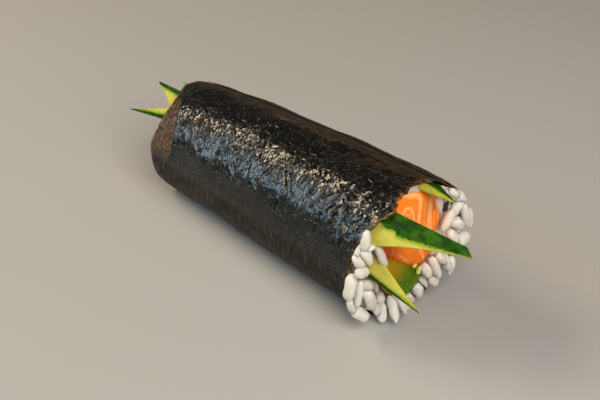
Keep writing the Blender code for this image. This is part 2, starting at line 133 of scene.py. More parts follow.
# Rice, in mm
RICE_NEAR_FACE = {
    0: 54.0, 50: 53.0, 120: 51.0, 180: 50.5, 225: 50.5, 270: 49.6, 300: 49.0, 325: 51.0,
}
RICE_FAR_FACE = -50.3
CORE_STEPS_ROUND = 40
CORE_FINE_STEPS_ROUND = 96
CORE_CAP = (0.0, 0.35, 0.6, 0.8, 0.92)
CORE_STATIONS = 5
CORE_CLEARANCE = 0.75
CORE_SET_BACK = 0.6
CORE_LUMP = 0.7
CORE_LUMP_SIZE = 2.4
GRAIN_LENGTH = 7.4
GRAIN_WIDTH = 3.0
GRAIN_LENGTHS = (0.82, 1.08)
GRAIN_WIDTHS = (0.9, 1.06)
GRAIN_FLATNESS = 0.88
GRAIN_SIDES = 5
GRAIN_RINGS = ((-0.7, 0.7), (0.0, 1.0), (0.7, 0.7))
GRAIN_CLEARANCE = 0.4
GRAIN_FLOOR = 0.2
GRAIN_REACH = 0.94
SCATTER_TRIES = 60
SCATTER_DEPTH = 0.5
FACE_MARGIN = 1.5
# Which end, how far out, how many, how far apart and how steep
RICE_LAYERS = (
    (1, 0.4, 44, 3.5, 0.4),
    (1, 2.2, 32, 3.8, 0.5),
    (-1, 0.3, 32, 3.8, 0.4),
    (-1, 1.8, 10, 5.0, 0.4),
)
RICE_SEED = 11

# The grains as the scene draws them
LEAST_GRAINS = 100
CHOSEN_ROOM = 4.5
COVER_MARGIN = 1.6
PRESSED_BELOW = 0.9
PRESSED_MARGIN = 0.2
PRESSED_FLOOR = 0.05
PLUMPNESS = 1.07
DENTS = 0.20
DENT_SIZE = 1.5
# How far the painted reflection of the salmon reaches over the grains, in mm
SALMON_REFLECTION_REACH = 5.0
FILLER_REACH = 0.9
FILLER_NEAR_SHARE = 0.7
FILLER_DEPTHS = (0.4, 1.2)
FILLER_APART = 2.4
FILLER_MIDDLE_CLEARANCE = 1.3
FILLER_END_CLEARANCE = 0.3
FILLER_LENGTHS = (0.7, 0.95)
FILLER_WIDTHS = (0.9, 1.05)
Grain = namedtuple("Grain", "angle radius x heading lean length width")
CHOSEN_GRAINS = (
    Grain(150, 22.1, 54.8, -94, 0, 6.6, 2.8),
    Grain(162, 19.4, 54.8, -63, 5, 6.2, 2.9),
    Grain(158, 21.4, 53.0, 52, 0, 4.6, 2.5),
    Grain(168, 20.4, 53.2, -64, 5, 6.4, 3.5),
    Grain(175, 20.3, 55.0, -8, 0, 5.0, 3.1),
    Grain(-172, 22.4, 52.8, -102, 0, 8.6, 3.8),
    Grain(-166, 21.5, 54.4, -97, 0, 8.6, 2.8),
    Grain(-167, 17.8, 54.0, -29, 0, 6.0, 2.8),
    Grain(-150, 18.5, 53.8, -67, -3, 9.0, 3.4),
    Grain(-138, 15.9, 53.5, 151, 50, 5.4, 3.3),
    Grain(-155, 23.6, 52.4, -75, 0, 5.8, 2.8),
    Grain(-143, 23.0, 52.7, -43, 5, 7.9, 3.6),
    Grain(-131, 18.4, 52.4, -80, 0, 7.0, 3.0),
    Grain(-122, 19.4, 53.0, -106, 24, 6.4, 2.8),
    Grain(-118, 17.2, 55.4, -100, 34, 8.2, 2.7),
    Grain(-111, 14.8, 55.2, -70, 15, 9.4, 3.2),
    Grain(-96, 18.1, 53.0, -40, 0, 7.2, 2.8),
    Grain(-104, 17.5, 52.5, -56, 0, 7.0, 2.6),
    Grain(-83, 18.0, 51.8, -47, 0, 5.6, 2.5),
    Grain(-76, 15.2, 53.5, -64, 0, 6.0, 3.1),
    Grain(-62, 15.8, 52.0, -50, 0, 5.9, 2.6),
    Grain(-56, 10.1, 54.5, -63, 0, 5.9, 3.4),
    Grain(-55, 16.6, 54.0, -52, 0, 4.6, 3.2),
    Grain(-43, 11.0, 55.8, -64, 0, 9.2, 3.1),
    Grain(-32, 15.1, 55.5, -61, 0, 7.7, 3.4),
    Grain(-34, 18.6, 55.0, -101, 0, 6.2, 2.9),
    Grain(-28, 11.3, 56.0, -51, 0, 6.1, 2.8),
    Grain(-6, 19.0, 56.0, -2, 0, 5.4, 3.8),
    Grain(1, 14.5, 56.0, -53, 0, 6.4, 3.1),
    Grain(16, 16.1, 56.2, -40, 0, 6.3, 3.6),
    Grain(18, 19.5, 56.6, -70, 0, 9.0, 2.8),
    Grain(10, 21.6, 55.5, -78, 0, 7.6, 2.6),
    Grain(33, 13.3, 56.4, -127, 0, 6.9, 3.1),
    Grain(34, 18.0, 56.0, -128, 0, 6.2, 3.0),
    Grain(38, 20.6, 56.0, -46, 0, 6.3, 2.8),
    Grain(48, 20.2, 56.0, -42, 0, 4.6, 2.5),
    Grain(46, 18.8, 54.5, -49, 0, 6.5, 2.8),
    Grain(59, 15.5, 55.0, -77, 0, 4.5, 1.6),
    Grain(160, 15.9, 56.7, -69, 3, 9.2, 2.4),
    Grain(-154, 14.8, 53.0, -67, 0, 6.0, 1.6),
    Grain(152, 19.9, 56.0, 10, 0, 3.8, 1.5),
    Grain(7, 13.8, 54.2, 72, 0, 6.6, 2.8),
    Grain(94, 20.3, -53.7, -10, 0, 2.2, 1.6),
)

# Fillings, in mm: the corners of each cut face round the roll's axis
SALMON_NEAR = (
    (-6.0, 18.2), (3.2, 16.7), (10.2, 14.4), (11.2, 9.6), (13.0, 4.4),
    (9.8, -4.2), (5.2, -7.4), (-2.0, -4.6), (-9.2, 2.2), (-12.8, 7.0),
)
SALMON_FAR = (
    (-5.0, 10.6), (2.6, 13.4), (9.0, 12.4), (11.2, 7.4), (12.4, 1.6),
    (9.4, -6.0), (4.4, -8.6), (-3.0, -6.0), (-9.4, 0.2), (-10.8, 5.0),
)
AVOCADO_NEAR = (
    (-10.6, 2.4), (2.8, -7.2), (5.6, -10.8), (-1.0, -16.0), (-8.6, -11.8), (-12.4, -3.8),
)
AVOCADO_FAR = (
    (-10.6, -2.4), (-0.6, -10.6), (2.6, -13.0), (-2.6, -15.8), (-9.4, -12.4), (-13.2, -7.0),
)
# Fat lines on the salmon's cut face: half their width at the first end, strength, points (y, z)
FAT_LINES = (
    (0.55, 1.0, (
        (-4.2, 39.6), (-1.0, 38.6), (2.4, 37.4), (3.0, 36.2), (2.8, 33.0), (2.6, 29.8),
        (3.3, 24.5), (4.5, 18.8), (6.3, 14.7),
    )),
    (0.85, 0.9, ((7.9, 37.0), (7.6, 34.1), (7.2, 30.0), (7.0, 26.8), (7.8, 21.0), (8.8, 17.0))),
    (0.35, 0.8, ((10.9, 30.5), (10.6, 26.8), (10.5, 24.2), (10.9, 20.0))),
    (0.40, 0.9, (
        (-5.0, 32.4), (-4.0, 34.3), (-2.4, 35.3), (-1.0, 35.0), (0.1, 33.0), (0.8, 30.2),
        (0.9, 28.0),
    )),
    (0.28, 0.7, ((-3.8, 31.6), (-2.4, 33.4), (-1.2, 32.8), (-0.6, 30.0), (-0.6, 28.0))),
    (0.22, 0.5, ((-1.9, 30.8), (-1.5, 31.2), (-1.3, 29.0))),
    (0.28, 0.6, ((-7.1, 24.2), (-6.4, 21.6))),
    (0.28, 0.6, ((-4.6, 21.0), (-2.6, 19.1), (-0.2, 16.4))),
    (0.35, 0.6, ((5.2, 38.8), (7.8, 38.4), (10.4, 35.6))),
    (0.22, 0.5, ((5.2, 35.5), (5.0, 31.0), (4.9, 27.0), (5.8, 21.0))),
    (0.22, 0.5, ((9.4, 33.0), (9.0, 29.0), (8.9, 25.0))),
)
SALMON_ENDS = (52.2, -51.5)
AVOCADO_ENDS = (52.9, -51.0)
FILLING_DOME = 1.0
FILLING_DRAW_IN = 0.14
FILLING_STATIONS = 6

StickEnd = namedtuple(
    "StickEnd",
    "cut tip first_angle first_width first_pare second_angle second_width second_pare"
    " thickness slant",
)
STICKS = {
    "cucumber_upper": (
        StickEnd((-54.0, -3.4, 34.8), (-65.0, -5.0, 35.4),
                 205, 1.6, (0.3, 1), 226, 5.2, (0.05, 1.3), 2.6, 0),
        StickEnd((54.0, -10.6, 38.4), (83.2, -11.3, 40.3),
                 226, 6.4, (0.26, 1), 232, 4.9, (0.3, 2.6), 3, 3.2),
    ),
    "cucumber_lower": (
        StickEnd((-51.5, -12.4, 27.9), (-75.5, -11.6, 23.2),
                 98, 1.3, (0.2, 1), 48, 3.4, (0.05, 1.4), 1.6, 0),
        StickEnd((52.2, -16.2, 18.7), (73.3, -16.6, 17.2),
                 108, 3, (0.1, 1), 56, 5.4, (0.05, 1.2), 2.2, 0),
    ),
    "cucumber_sliver": (
        StickEnd((-50.0, 3.6, 33.6), (-52.4, 3.6, 33.6),
                 60, 1.4, (0.9, 1), -22, 5.0, (0.9, 1), 1.3, 0),
        StickEnd((54.0, 3.4, 39.4), (64.6, 4.9, 39.2),
                 62, 1.7, (0.05, 1), -20, 5.6, (0.05, 1.1), 1.3, 0),
    ),
}
STICK_BACK = ((0.92, 0.75), (0.5, 1.0), (0.08, 0.75))
STICK_THINNING = 0.8
STICK_STATIONS_INSIDE = 4
STICK_STATIONS_CUT = 6

# The fillings as the scene draws them, a little larger to make up for their rounder corners
SALMON_GROWTH = 1.055
AVOCADO_GROWTH = 1.03
STRIP_STATIONS = 12
STICK_FINE_STATIONS = 44
STICK_STEPS_A_SIDE = 8
STICK_BULGE = 0.16
STICK_BACK_BULGE = 0.9
STICK_BACK_SIDES = 2
# How far down the first strip the rind reaches at the open end, as (x, share of the strip)
RIND_REACH = {
    "cucumber_upper": ((54.0, 0.54), (56.7, 0.77), (59.8, 0.775), (61.2, 0.98), (64.0, 1.0)),
    "cucumber_lower": ((52.0, 0.62), (60.0, 0.72), (73.0, 0.95)),
    "cucumber_sliver": ((54.0, 1.0), (64.0, 1.0)),
}
# The rind is this much thicker at the far end
FAR_RIND = 0.3

# Specks on the roll: middle, sizes, heading in degrees round X, and what their material reads
Crumb = namedtuple("Crumb", "place long wide thick heading value")
# The nori flakes' values are their share of the thin places' colour, painted light shining through
FLAKES = (
    Crumb((54.2, -8.4, 38.0), 2.6, 1.2, 0.5, 30, 0.2),
    Crumb((53.2, 13.3, 30.6), 4.0, 2.4, 0.8, 75, 0.85),
    Crumb((51.2, -21.5, 22.0), 2.2, 0.8, 0.5, 80, 1.0),
    Crumb((51.2, -22.0, 24.6), 1.6, 0.7, 0.4, 95, 1.0),
)
AVOCADO_CRUMBS = (
    Crumb((55.6, 1.2, 14.7), 2.4, 1.5, 1.1, 70, 0.55),
    Crumb((55.5, -0.4, 16.9), 1.5, 1.0, 0.9, 20, 0.75),
)
CUCUMBER_CRUMBS = (Crumb((-54.0, -2.0, 37.5), 2.4, 0.9, 0.7, 155, 0.45),)
CRUMB_SIDES = 8
CRUMB_RINGS = 6
CRUMB_RAGGEDNESS = 0.55
CRUMB_RAG_SIZE = 1.3

# The stage, in metres. A light's row: name, setting, direction, distance, width, height, colour
LIGHTS = (
    ("window", "key", (-0.671, -0.645, 0.36), 0.90, 0.55, 0.34, (0.66, 0.87, 1.0)),
    ("lamp", "lamp", (-0.671, -0.34, 0.66), 0.90, 0.50, 0.14, (1.0, 0.80, 0.56)),
    ("front", "fill", (0.72, -0.28, 0.62), 0.80, 0.50, 0.50, (1.0, 0.97, 0.93)),
    ("back", "rim", (-0.60, 0.74, 0.16), 0.80, 0.30, 0.14, (1.0, 0.50, 0.16)),
)
LIT_POINT = (0, 0, 0.02)
AMBIENT_COLOUR = (1.0, 0.98, 0.95, 1)
FLOOR_HALF_SIDE = 4.0
FLOOR_SHADE = 0.96
CAMERA_PLACE = (0.2380, -0.1953, 0.1855)
CAMERA_TARGET = (0.0033, 0.00094, 0.01552)
CAMERA_LENS = 66.42
CAMERA_SENSOR = 36
CAMERA_CLIP = 0.01


# ---- sizes and colours that a user would change


def tint(name, description, colour):
    return FloatVectorProperty(
        name=name, description=description, subtype="COLOR", default=colour,
    )


def length(name, description, default, least):
    return FloatProperty(
        name=name, description=description, default=default * MM, min=least * MM,
        subtype="DISTANCE", unit="LENGTH", precision=5,
    )


def power(name, description, default):
    return FloatProperty(
        name=name, description=description, default=default, min=0.0,
        subtype="POWER", unit="POWER",
    )


class NoriSettings(bpy.types.PropertyGroup):
    step: length("Mesh step", "Distance between the sheet's mesh points", 0.46, 0.3)
    crinkle: length("Crinkle", "Height of the fine wrinkles that run all over the sheet", 0.05, 0)
    crinkle_size: length("Crinkle size", "Distance from one wrinkle to the next", 2.6, 0.5)
    colour: tint("Colour", "Roasted seaweed", (0.0022, 0.0023, 0.0013))
    brown: tint("Brown", "Thin places that light shines through", (0.016, 0.008, 0.0025))
    # Painted sheen: pale strands that stand for grazing reflections on the lower and upper sides of
    # the sheet
    fibre_sheen: tint("Fibre", "Pale strands that show on the sheet's sides", (0.13, 0.060, 0.017))
    # Painted light shining through the thin folded-in patch, over the brown of thin nori
    amber_glow: tint("Amber", "The thin folded-in patch at the far end", (0.22, 0.098, 0.015))


class RiceSettings(bpy.types.PropertyGroup):
    white: tint("White", "Opaque grains", (0.63, 0.60, 0.54))
    clear: tint("Clear", "Grains that are wet and see-through", (0.50, 0.46, 0.38))
    # Painted reflection: the salmon's colour thrown onto the grains beside it
    blush: tint("Blush", "Tint that the salmon gives to the grains by it", (0.76, 0.53, 0.43))
    fillers: IntProperty(
        name="Filling grains", description="Grains tucked in between the ones that stand out",
        default=90, min=0,
    )


class SalmonSettings(bpy.types.PropertyGroup):
    flesh: tint("Flesh", "Salmon between its fat lines", (0.86, 0.205, 0.010))
    # Partly deeper real flesh, partly painted shade: by the sheet's edge on the left, lower down
    # and on the sides inside the roll
    deep: tint("Deep flesh", "Darker, redder flesh towards the sheet", (0.46, 0.060, 0.003))
    fat: tint("Fat", "Pale lines between the layers of muscle", (0.90, 0.44, 0.17))


class CucumberSettings(bpy.types.PropertyGroup):
    rind: tint("Rind", "Dark skin", (0.0052, 0.034, 0.0003))
    rind_light: tint("Light rind", "Lighter patches in the skin", (0.028, 0.105, 0.0005))
    under_rind: tint("Under the rind", "Green flesh next to the skin", (0.15, 0.24, 0.003))
    flesh: tint("Flesh", "Pale flesh", (0.52, 0.445, 0.074))


class AvocadoSettings(bpy.types.PropertyGroup):
    # The yellow, on the side towards the salmon, is partly painted light reflected from it, over
    # the flesh's own yellow
    yellow: tint("Yellow", "Flesh near the stone", (0.33, 0.19, 0.003))
    green: tint("Green", "Flesh near the skin", (0.055, 0.125, 0.0012))
    fleck: tint("Fleck", "Light flecks towards the skin", (0.42, 0.52, 0.05))


class StageSettings(bpy.types.PropertyGroup):
    floor: tint("Floor", "Plain pale floor", (0.375, 0.358, 0.332))
    key: power("Window light", "Power of the large cool light on the left", 3.8)
    lamp: power("Lamp", "Power of the long warm light above the window", 4.8)
    fill: power("Front light", "Power of the soft light over the open end", 8.0)
    rim: power("Back light", "Power of the warm light behind the roll", 0.14)
    ambient: FloatProperty(
        name="Ambient", description="Even light from all round", default=0.07, min=0.0,
    )


# ---- the roll's form, in mm


def ring_value(marks, angle):
    """Reads a value given at a few angles in degrees, with a smooth passage between them."""
    degrees = math.degrees(angle) % 360
    angles = sorted(marks)
    for low, high in zip(angles, angles[1:] + [angles[0] + 360]):
        if low <= degrees < high:
            share = (degrees - low) / (high - low)
            share = share * share * (3 - 2 * share)
            return marks[low] * (1 - share) + marks[high % 360] * share
    return marks[angles[0]]


def ring_values(marks, angles):
    return np.array([ring_value(marks, angle) for angle in angles])


def blend(low, high, share):
    return low + (high - low) * share


def soft_step(value, low, high):
    """0 below low, 1 above high, and a smooth passage between them."""
    share = np.clip((value - low) / (high - low), 0, 1)
    return share * share * (3 - 2 * share)


def plain_radius(x):
    along = x / HALF_LENGTH
    return ROLL_RADIUS + ROLL_FLARE * along + ROLL_BELLY * (1 - along * along)


def axis_height(x):
    return plain_radius(x) - REST_SAG


def pinch(x, angle):
    along = np.maximum(0.0, 1 - (x + HALF_LENGTH) / PINCH_LENGTH)
    return PINCH_DEPTH * along ** 2 * np.cos((angle - PINCH_ANGLE) / 2) ** PINCH_NARROWNESS


def bumps(x, angle):
    height = 0.0
    for share, count, along, phase in NORI_WAVES:
        height = height + share * np.sin(count * angle + along * x + phase)
    return NORI_BUMP * height


def roll_radius(x, angle):
    return plain_radius(x) + bumps(x, angle) - pinch(x, angle)


def on_roll(x, angle, radius):
    return Vector((x, radius * math.cos(angle), axis_height(x) + radius * math.sin(angle)))


def sheet_inside(x, angle):
    """The radius of the sheet's innermost surface."""
    turn = (NORI_SEAM - angle) % math.tau / math.tau
    if turn < NORI_TURNS - 1 + 2 / CORE_STEPS_ROUND:
        turn += 1
    return float(roll_radius(x, angle)) + LAYER_PITCH * (0.5 - turn) - NORI_THICKNESS


def rounded(corners, rounds=1):
    """Cuts the corners off a closed outline, as often as asked."""
    points = list(corners)
    for _ in range(rounds):
        cut = []
        for here, ahead in zip(points, points[1:] + points[:1]):
            cut += [here.lerp(ahead, 0.25), here.lerp(ahead, 0.75)]
        points = cut
    return points


def middle_of(points):
    return sum(points, Vector((0,) * len(points[0]))) / len(points)


def strip_section(near, far, x, ends, rounds=1, grow=1.0):
    """The cut face of a long filling at x, as points (y, z)."""
    share = (ends[0] - x) / (ends[0] - ends[1])
    scale = plain_radius(x) / plain_radius(HALF_LENGTH)
    corners = [Vector(a).lerp(Vector(b), share) * scale for a, b in zip(near, far)]
    middle = middle_of(corners)
    corners = [middle + (corner - middle) * grow for corner in corners]
    return [point + Vector((0, axis_height(x))) for point in rounded(corners, rounds)]


def polar(angle_degrees, distance):
    angle = math.radians(angle_degrees)
    return Vector((math.cos(angle), math.sin(angle))) * distance


def stick_ring(end, share):
    """The six corners of a stick's section, at a share of the way from its cut to its tip."""
    point = Vector(end.cut).lerp(Vector(end.tip), share)
    widths = []
    for width, (least, power_of_share) in (
        (end.first_width, end.first_pare), (end.second_width, end.second_pare),
    ):
        widths.append(width * (1 - share * (1 - least)) ** power_of_share)
    middle = point.yz + polar(end.first_angle, widths[0])
    last = middle + polar(end.second_angle, widths[1])
    across = (last - point.yz).normalized()
    inward = Vector((-across.y, across.x))
    if inward.dot(Vector((0, axis_height(0))) - middle) < 0:
        inward = -inward
    shrink = (widths[0] + widths[1]) / (end.first_width + end.second_width)
    depth = end.thickness * shrink ** STICK_THINNING
    corners = [(0.0, point.yz), (widths[0] / (widths[0] + widths[1]), middle), (1.0, last)]
    for along, deep in STICK_BACK:
        corners.append((along, point.yz.lerp(last, along) + inward * depth * deep))
    return [Vector((point.x + end.slant * share * along, *corner)) for along, corner in corners]


def stick_rings(ends, cut_stations=STICK_STATIONS_CUT):
    """All the rings of a stick, from its far tip to its near one."""
    shares = [step / cut_stations for step in range(cut_stations + 1)]
    far = [stick_ring(ends[0], share) for share in reversed(shares)]
    near = [stick_ring(ends[1], share) for share in shares]
    inside = []
    for step in range(1, STICK_STATIONS_INSIDE):
        share = step / STICK_STATIONS_INSIDE
        inside.append([low.lerp(high, share) for low, high in zip(far[-1], near[0])])
    return far + inside + near


def dome_ring(ring, way):
    middle = middle_of(ring)
    out = Vector((way * FILLING_DOME, 0, 0))
    return [point.lerp(middle, FILLING_DRAW_IN) + out for point in ring]


def filling_rings():
    """Every long filling as the solid model has it, for keeping the grains clear of them."""
    fillings = {name: stick_rings(ends) for name, ends in STICKS.items()}
    for name, near, far, ends in (
        ("salmon", SALMON_NEAR, SALMON_FAR, SALMON_ENDS),
        ("avocado", AVOCADO_NEAR, AVOCADO_FAR, AVOCADO_ENDS),
    ):
        rings = []
        for step in range(FILLING_STATIONS + 1):
            x = blend(ends[1], ends[0], step / FILLING_STATIONS)
            rings.append([Vector((x, *point)) for point in strip_section(near, far, x, ends)])
        fillings[name] = [dome_ring(rings[0], -1), *rings, dome_ring(rings[-1], 1)]
    return fillings


# ---- meshes


def new_piece(name, points, faces, finish, slot, replaces=()):
    """A smooth object from points in mm, riding with the roll and standing for the named solids."""
    mesh = bpy.data.meshes.new(name)
    mesh.from_pydata((np.asarray(points, float) * MM).tolist(), [], faces)
    mesh.validate()
    mesh.shade_smooth()
    mesh.materials.append(finish)
    piece = bpy.data.objects.new(name, mesh)
    bpy.context.scene.collection.objects.link(piece)
    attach(piece, "root")
    if replaces:
        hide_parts(*replaces)
    return piece


def point_values(piece, **values_by_name):
    """Stores numbers for each point of a piece, or one for them all, for its material to read."""
    for name, values in values_by_name.items():
        attribute = piece.data.attributes.new(name, "FLOAT", "POINT")
        values = np.broadcast_to(np.asarray(values, np.float32), len(piece.data.vertices))
        attribute.data.foreach_set("value", np.ascontiguousarray(values))


def lay_flat(piece, across, along):
    """Lays a flat map over a piece from two numbers for each of its points, in mm."""
    places = np.stack([across, along], -1).astype(np.float32)
    corners = np.zeros(len(piece.data.loops), np.int32)
    piece.data.loops.foreach_get("vertex_index", corners)
    layer = piece.data.uv_layers.new(name="Sheet")
    layer.data.foreach_set("uv", places[corners].ravel())


def tube_faces(rings, count, first=0):
    """Quads that join rings of equal count, one after the other."""
    faces = []
    for ring in range(rings - 1):
        low = first + ring * count
        for i in range(count):
            ahead = (i + 1) % count
            faces.append((low + i, low + ahead, low + count + ahead, low + count + i))
    return faces


def closed_tube(rings, count):
    """The faces of a tube with a flat cap on both ends."""
    last = (rings - 1) * count
    caps = [tuple(reversed(range(count))), tuple(range(last, last + count))]
    return tube_faces(rings, count) + caps


def fan_faces(tip, ring_start, count, outwards):
    """Triangles that close a ring of points on one tip."""
    faces = []
    for i in range(count):
        here, ahead = ring_start + i, ring_start + (i + 1) % count
        faces.append((tip, here, ahead) if outwards else (tip, ahead, here))
    return faces


def repeated(faces, copies, size):
    """The faces of a shape for several copies of it, of size points each."""
    return [
        tuple(copy * size + corner for corner in face) for copy in range(copies) for face in faces
    ]


def ripple(places, size, seed):
    """Smooth noise from -1 to 1 at flat places (mm), with hills about size apart."""
    at = places / size
    return np.array([noise.noise(Vector((a, b, seed))) for a, b in at])


def noise_at(points, scale, shift):
    """Smooth noise from -1 to 1 at each point of a shape."""
    shift = Vector(shift)
    return np.array([noise.noise(Vector(point) * scale + shift) for point in points])


# ---- materials

FLOAT, VECTOR, COLOUR = "NodeSocketFloat", "NodeSocketVector", "NodeSocketColor"


class Shading:
    """Builds the nodes of a material or of a group."""

    def __init__(self, tree):
        self.tree = tree

    def put(self, kind, inputs=None, **settings):
        """Adds a node. An input's value is a number, a vector, a colour or a node's output."""
        made = self.tree.nodes.new(kind)
        for key, value in settings.items():
            setattr(made, key, value)
        for key, value in (inputs or {}).items():
            self.feed(made.inputs[key], value)
        return made

    def feed(self, socket, value):
        if isinstance(value, bpy.types.NodeSocket):
            self.tree.links.new(value, socket)
        elif socket.type == "RGBA":
            socket.default_value = (*tuple(value)[:3], 1)
        else:
            socket.default_value = value

    def shade(self, **inputs):
        """Sets or links the inputs of the material's own shader, with _ for a space."""
        shader = self.tree.nodes["Principled BSDF"].inputs
        for name, value in inputs.items():
            self.feed(shader[name.replace("_", " ")], value)

    def maths(self, operation, *values, clamp=False):
        inputs = dict(enumerate(values))
        made = self.put("ShaderNodeMath", inputs, operation=operation, use_clamp=clamp)
        return made.outputs[0]

    def plus(self, first, second, clamp=False):
        return self.maths("ADD", first, second, clamp=clamp)

    def times(self, first, second):
        return self.maths("MULTIPLY", first, second)

    def most(self, first, second):
        return self.maths("MAXIMUM", first, second)

    def vector(self, operation, first, second, result="Vector"):
        made = self.put("ShaderNodeVectorMath", {0: first, 1: second}, operation=operation)
        return made.outputs[result]

    def spread(self, value, low, high, new_low=0.0, new_high=1.0):
        """Takes low..high to new_low..new_high, smoothly, and holds it there."""
        names = ("Value", "From Min", "From Max", "To Min", "To Max")
        inputs = dict(zip(names, (value, low, high, new_low, new_high)))
        made = self.put("ShaderNodeMapRange", inputs, interpolation_type="SMOOTHSTEP")
        return made.outputs["Result"]

    def mix(self, share, first, second):
        inputs = {0: share, 6: first, 7: second}
        return self.put("ShaderNodeMix", inputs, data_type="RGBA").outputs[2]

    def noise(self, where, scale, detail=3.0, rough=0.55, distort=0.0):
        names = ("Vector", "Scale", "Detail", "Roughness", "Distortion")
        inputs = dict(zip(names, (where, scale, detail, rough, distort)))
        return self.put("ShaderNodeTexNoise", inputs).outputs["Fac"]

    def cells(self, where, scale, randomness):
        inputs = {"Vector": where, "Scale": scale, "Randomness": randomness}
        return self.put("ShaderNodeTexVoronoi", inputs, feature="F1").outputs["Distance"]

    def group(self, group, **values):
        inputs = {name.replace("_", " "): value for name, value in values.items()}
        return self.put("ShaderNodeGroup", inputs, node_tree=group).outputs

    def stretched(self, where, *scale):
        made = self.put("ShaderNodeMapping", {"Vector": where, "Scale": scale})
        return made.outputs["Vector"]

    def bump(self, height, distance):
        inputs = {"Strength": 1.0, "Distance": distance * MM, "Height": height}
        return self.put("ShaderNodeBump", inputs).outputs["Normal"]

    def places(self):
        """Places in the roll's own frame, in mm."""
        metres = self.put("ShaderNodeTexCoord").outputs["Object"]
        inputs = {0: metres, "Scale": 1 / MM}
        return self.put("ShaderNodeVectorMath", inputs, operation="SCALE").outputs["Vector"]

    def stored(self, name):
        return self.put("ShaderNodeAttribute", attribute_name=name).outputs["Fac"]

    def moist(self, places, size, wet, dry, film, relief=None, share=0.0):
        """The roughness and normal of a moist surface: a film, in mm, over its own relief."""
        group = self.group(moisture_group(), Places=places, Size=size, Wet=wet, Dry=dry)
        height = group["Height"]
        if relief is not None:
            height = self.maths("MULTIPLY_ADD", relief, share, height)
        return {"Roughness": group["Roughness"], "Normal": self.bump(height, film)}


def glow(weight, radius, reach, shine):
    """How light spreads under a surface, with its reach in mm, and how strongly it shines."""
    return {
        "Subsurface_Weight": weight, "Subsurface_Radius": radius,
        "Subsurface_Scale": reach * MM, "Specular_IOR_Level": shine,
    }


def new_material(name):
    made = bpy.data.materials.new(name)
    made.use_nodes = True
    return made, Shading(made.node_tree)


def shared_group(name, inputs, outputs, build):
    """A node group with named sockets, made the first time that it is asked for."""
    tree = bpy.data.node_groups.get(name)
    if tree is None:
        tree = bpy.data.node_groups.new(name, "ShaderNodeTree")
        for socket_name, kind, default in inputs:
            socket = tree.interface.new_socket(socket_name, in_out="INPUT", socket_type=kind)
            if default is not None:
                socket.default_value = default
        for socket_name, kind in outputs:
            tree.interface.new_socket(socket_name, in_out="OUTPUT", socket_type=kind)
        nodes = Shading(tree)
        given = nodes.put("NodeGroupInput").outputs
        out = nodes.put("NodeGroupOutput").inputs
        for socket_name, value in build(nodes, given).items():
            nodes.feed(out[socket_name], value)
    return tree


def mottle_group():
    """Two colours in soft uneven patches."""
    def build(nodes, given):
        patch = nodes.maths("DIVIDE", 1.0, given["Patch size"])
        cloud = nodes.noise(given["Places"], patch, detail=4.0, rough=0.6)
        low = nodes.maths("SUBTRACT", given["Balance"], given["Softness"])
        mask = nodes.spread(cloud, low, nodes.plus(given["Balance"], given["Softness"]))
        return {"Mask": mask, "Colour": nodes.mix(mask, given["First"], given["Second"])}

    return shared_group(
        "Mottle",
        (("Places", VECTOR, None), ("Patch size", FLOAT, 3.0), ("Balance", FLOAT, 0.5),
         ("Softness", FLOAT, 0.2), ("First", COLOUR, None), ("Second", COLOUR, None)),
        (("Colour", COLOUR), ("Mask", FLOAT)), build,
    )


def moisture_group():
    """Wet and drier places: roughness, and a fine uneven film as a height."""
    def build(nodes, given):
        per = nodes.maths("DIVIDE", 1.0, given["Size"])
        film = nodes.noise(given["Places"], per, detail=3.0)
        fine = nodes.noise(given["Places"], nodes.times(per, 5.0), detail=2.0)
        rough = nodes.spread(film, 0.3, 0.7, given["Wet"], given["Dry"])
        return {"Roughness": rough, "Height": nodes.maths("MULTIPLY_ADD", fine, 0.3, film)}

    return shared_group(
        "Moisture",
        (("Places", VECTOR, None), ("Size", FLOAT, 1.5), ("Wet", FLOAT, 0.2), ("Dry", FLOAT, 0.5)),
        (("Roughness", FLOAT), ("Height", FLOAT)), build,
    )


def crumple_group():
    """Flat facets that meet in creases, as on crumpled paper: a height in mm."""
    def build(nodes, given):
        per = nodes.maths("DIVIDE", 1.0, given["Facet size"])
        inputs = {"Vector": given["Places"], "Scale": per, "Smoothness": given["Softness"]}
        cells = nodes.put(
            "ShaderNodeTexVoronoi", inputs, feature="SMOOTH_F1", voronoi_dimensions="2D",
        )
        away = nodes.vector("SUBTRACT", given["Places"], cells.outputs["Position"])
        lean = nodes.vector("SUBTRACT", cells.outputs["Color"], (0.5, 0.5, 0.5))
        rise = nodes.vector("DOT_PRODUCT", lean, away, "Value")
        return {"Height": nodes.times(rise, nodes.times(given["Tilt"], 2.0))}

    return shared_group(
        "Crumple",
        (("Places", VECTOR, None), ("Facet size", FLOAT, 2.0), ("Tilt", FLOAT, 0.2),
         ("Softness", FLOAT, 0.2)),
        (("Height", FLOAT),), build,
    )


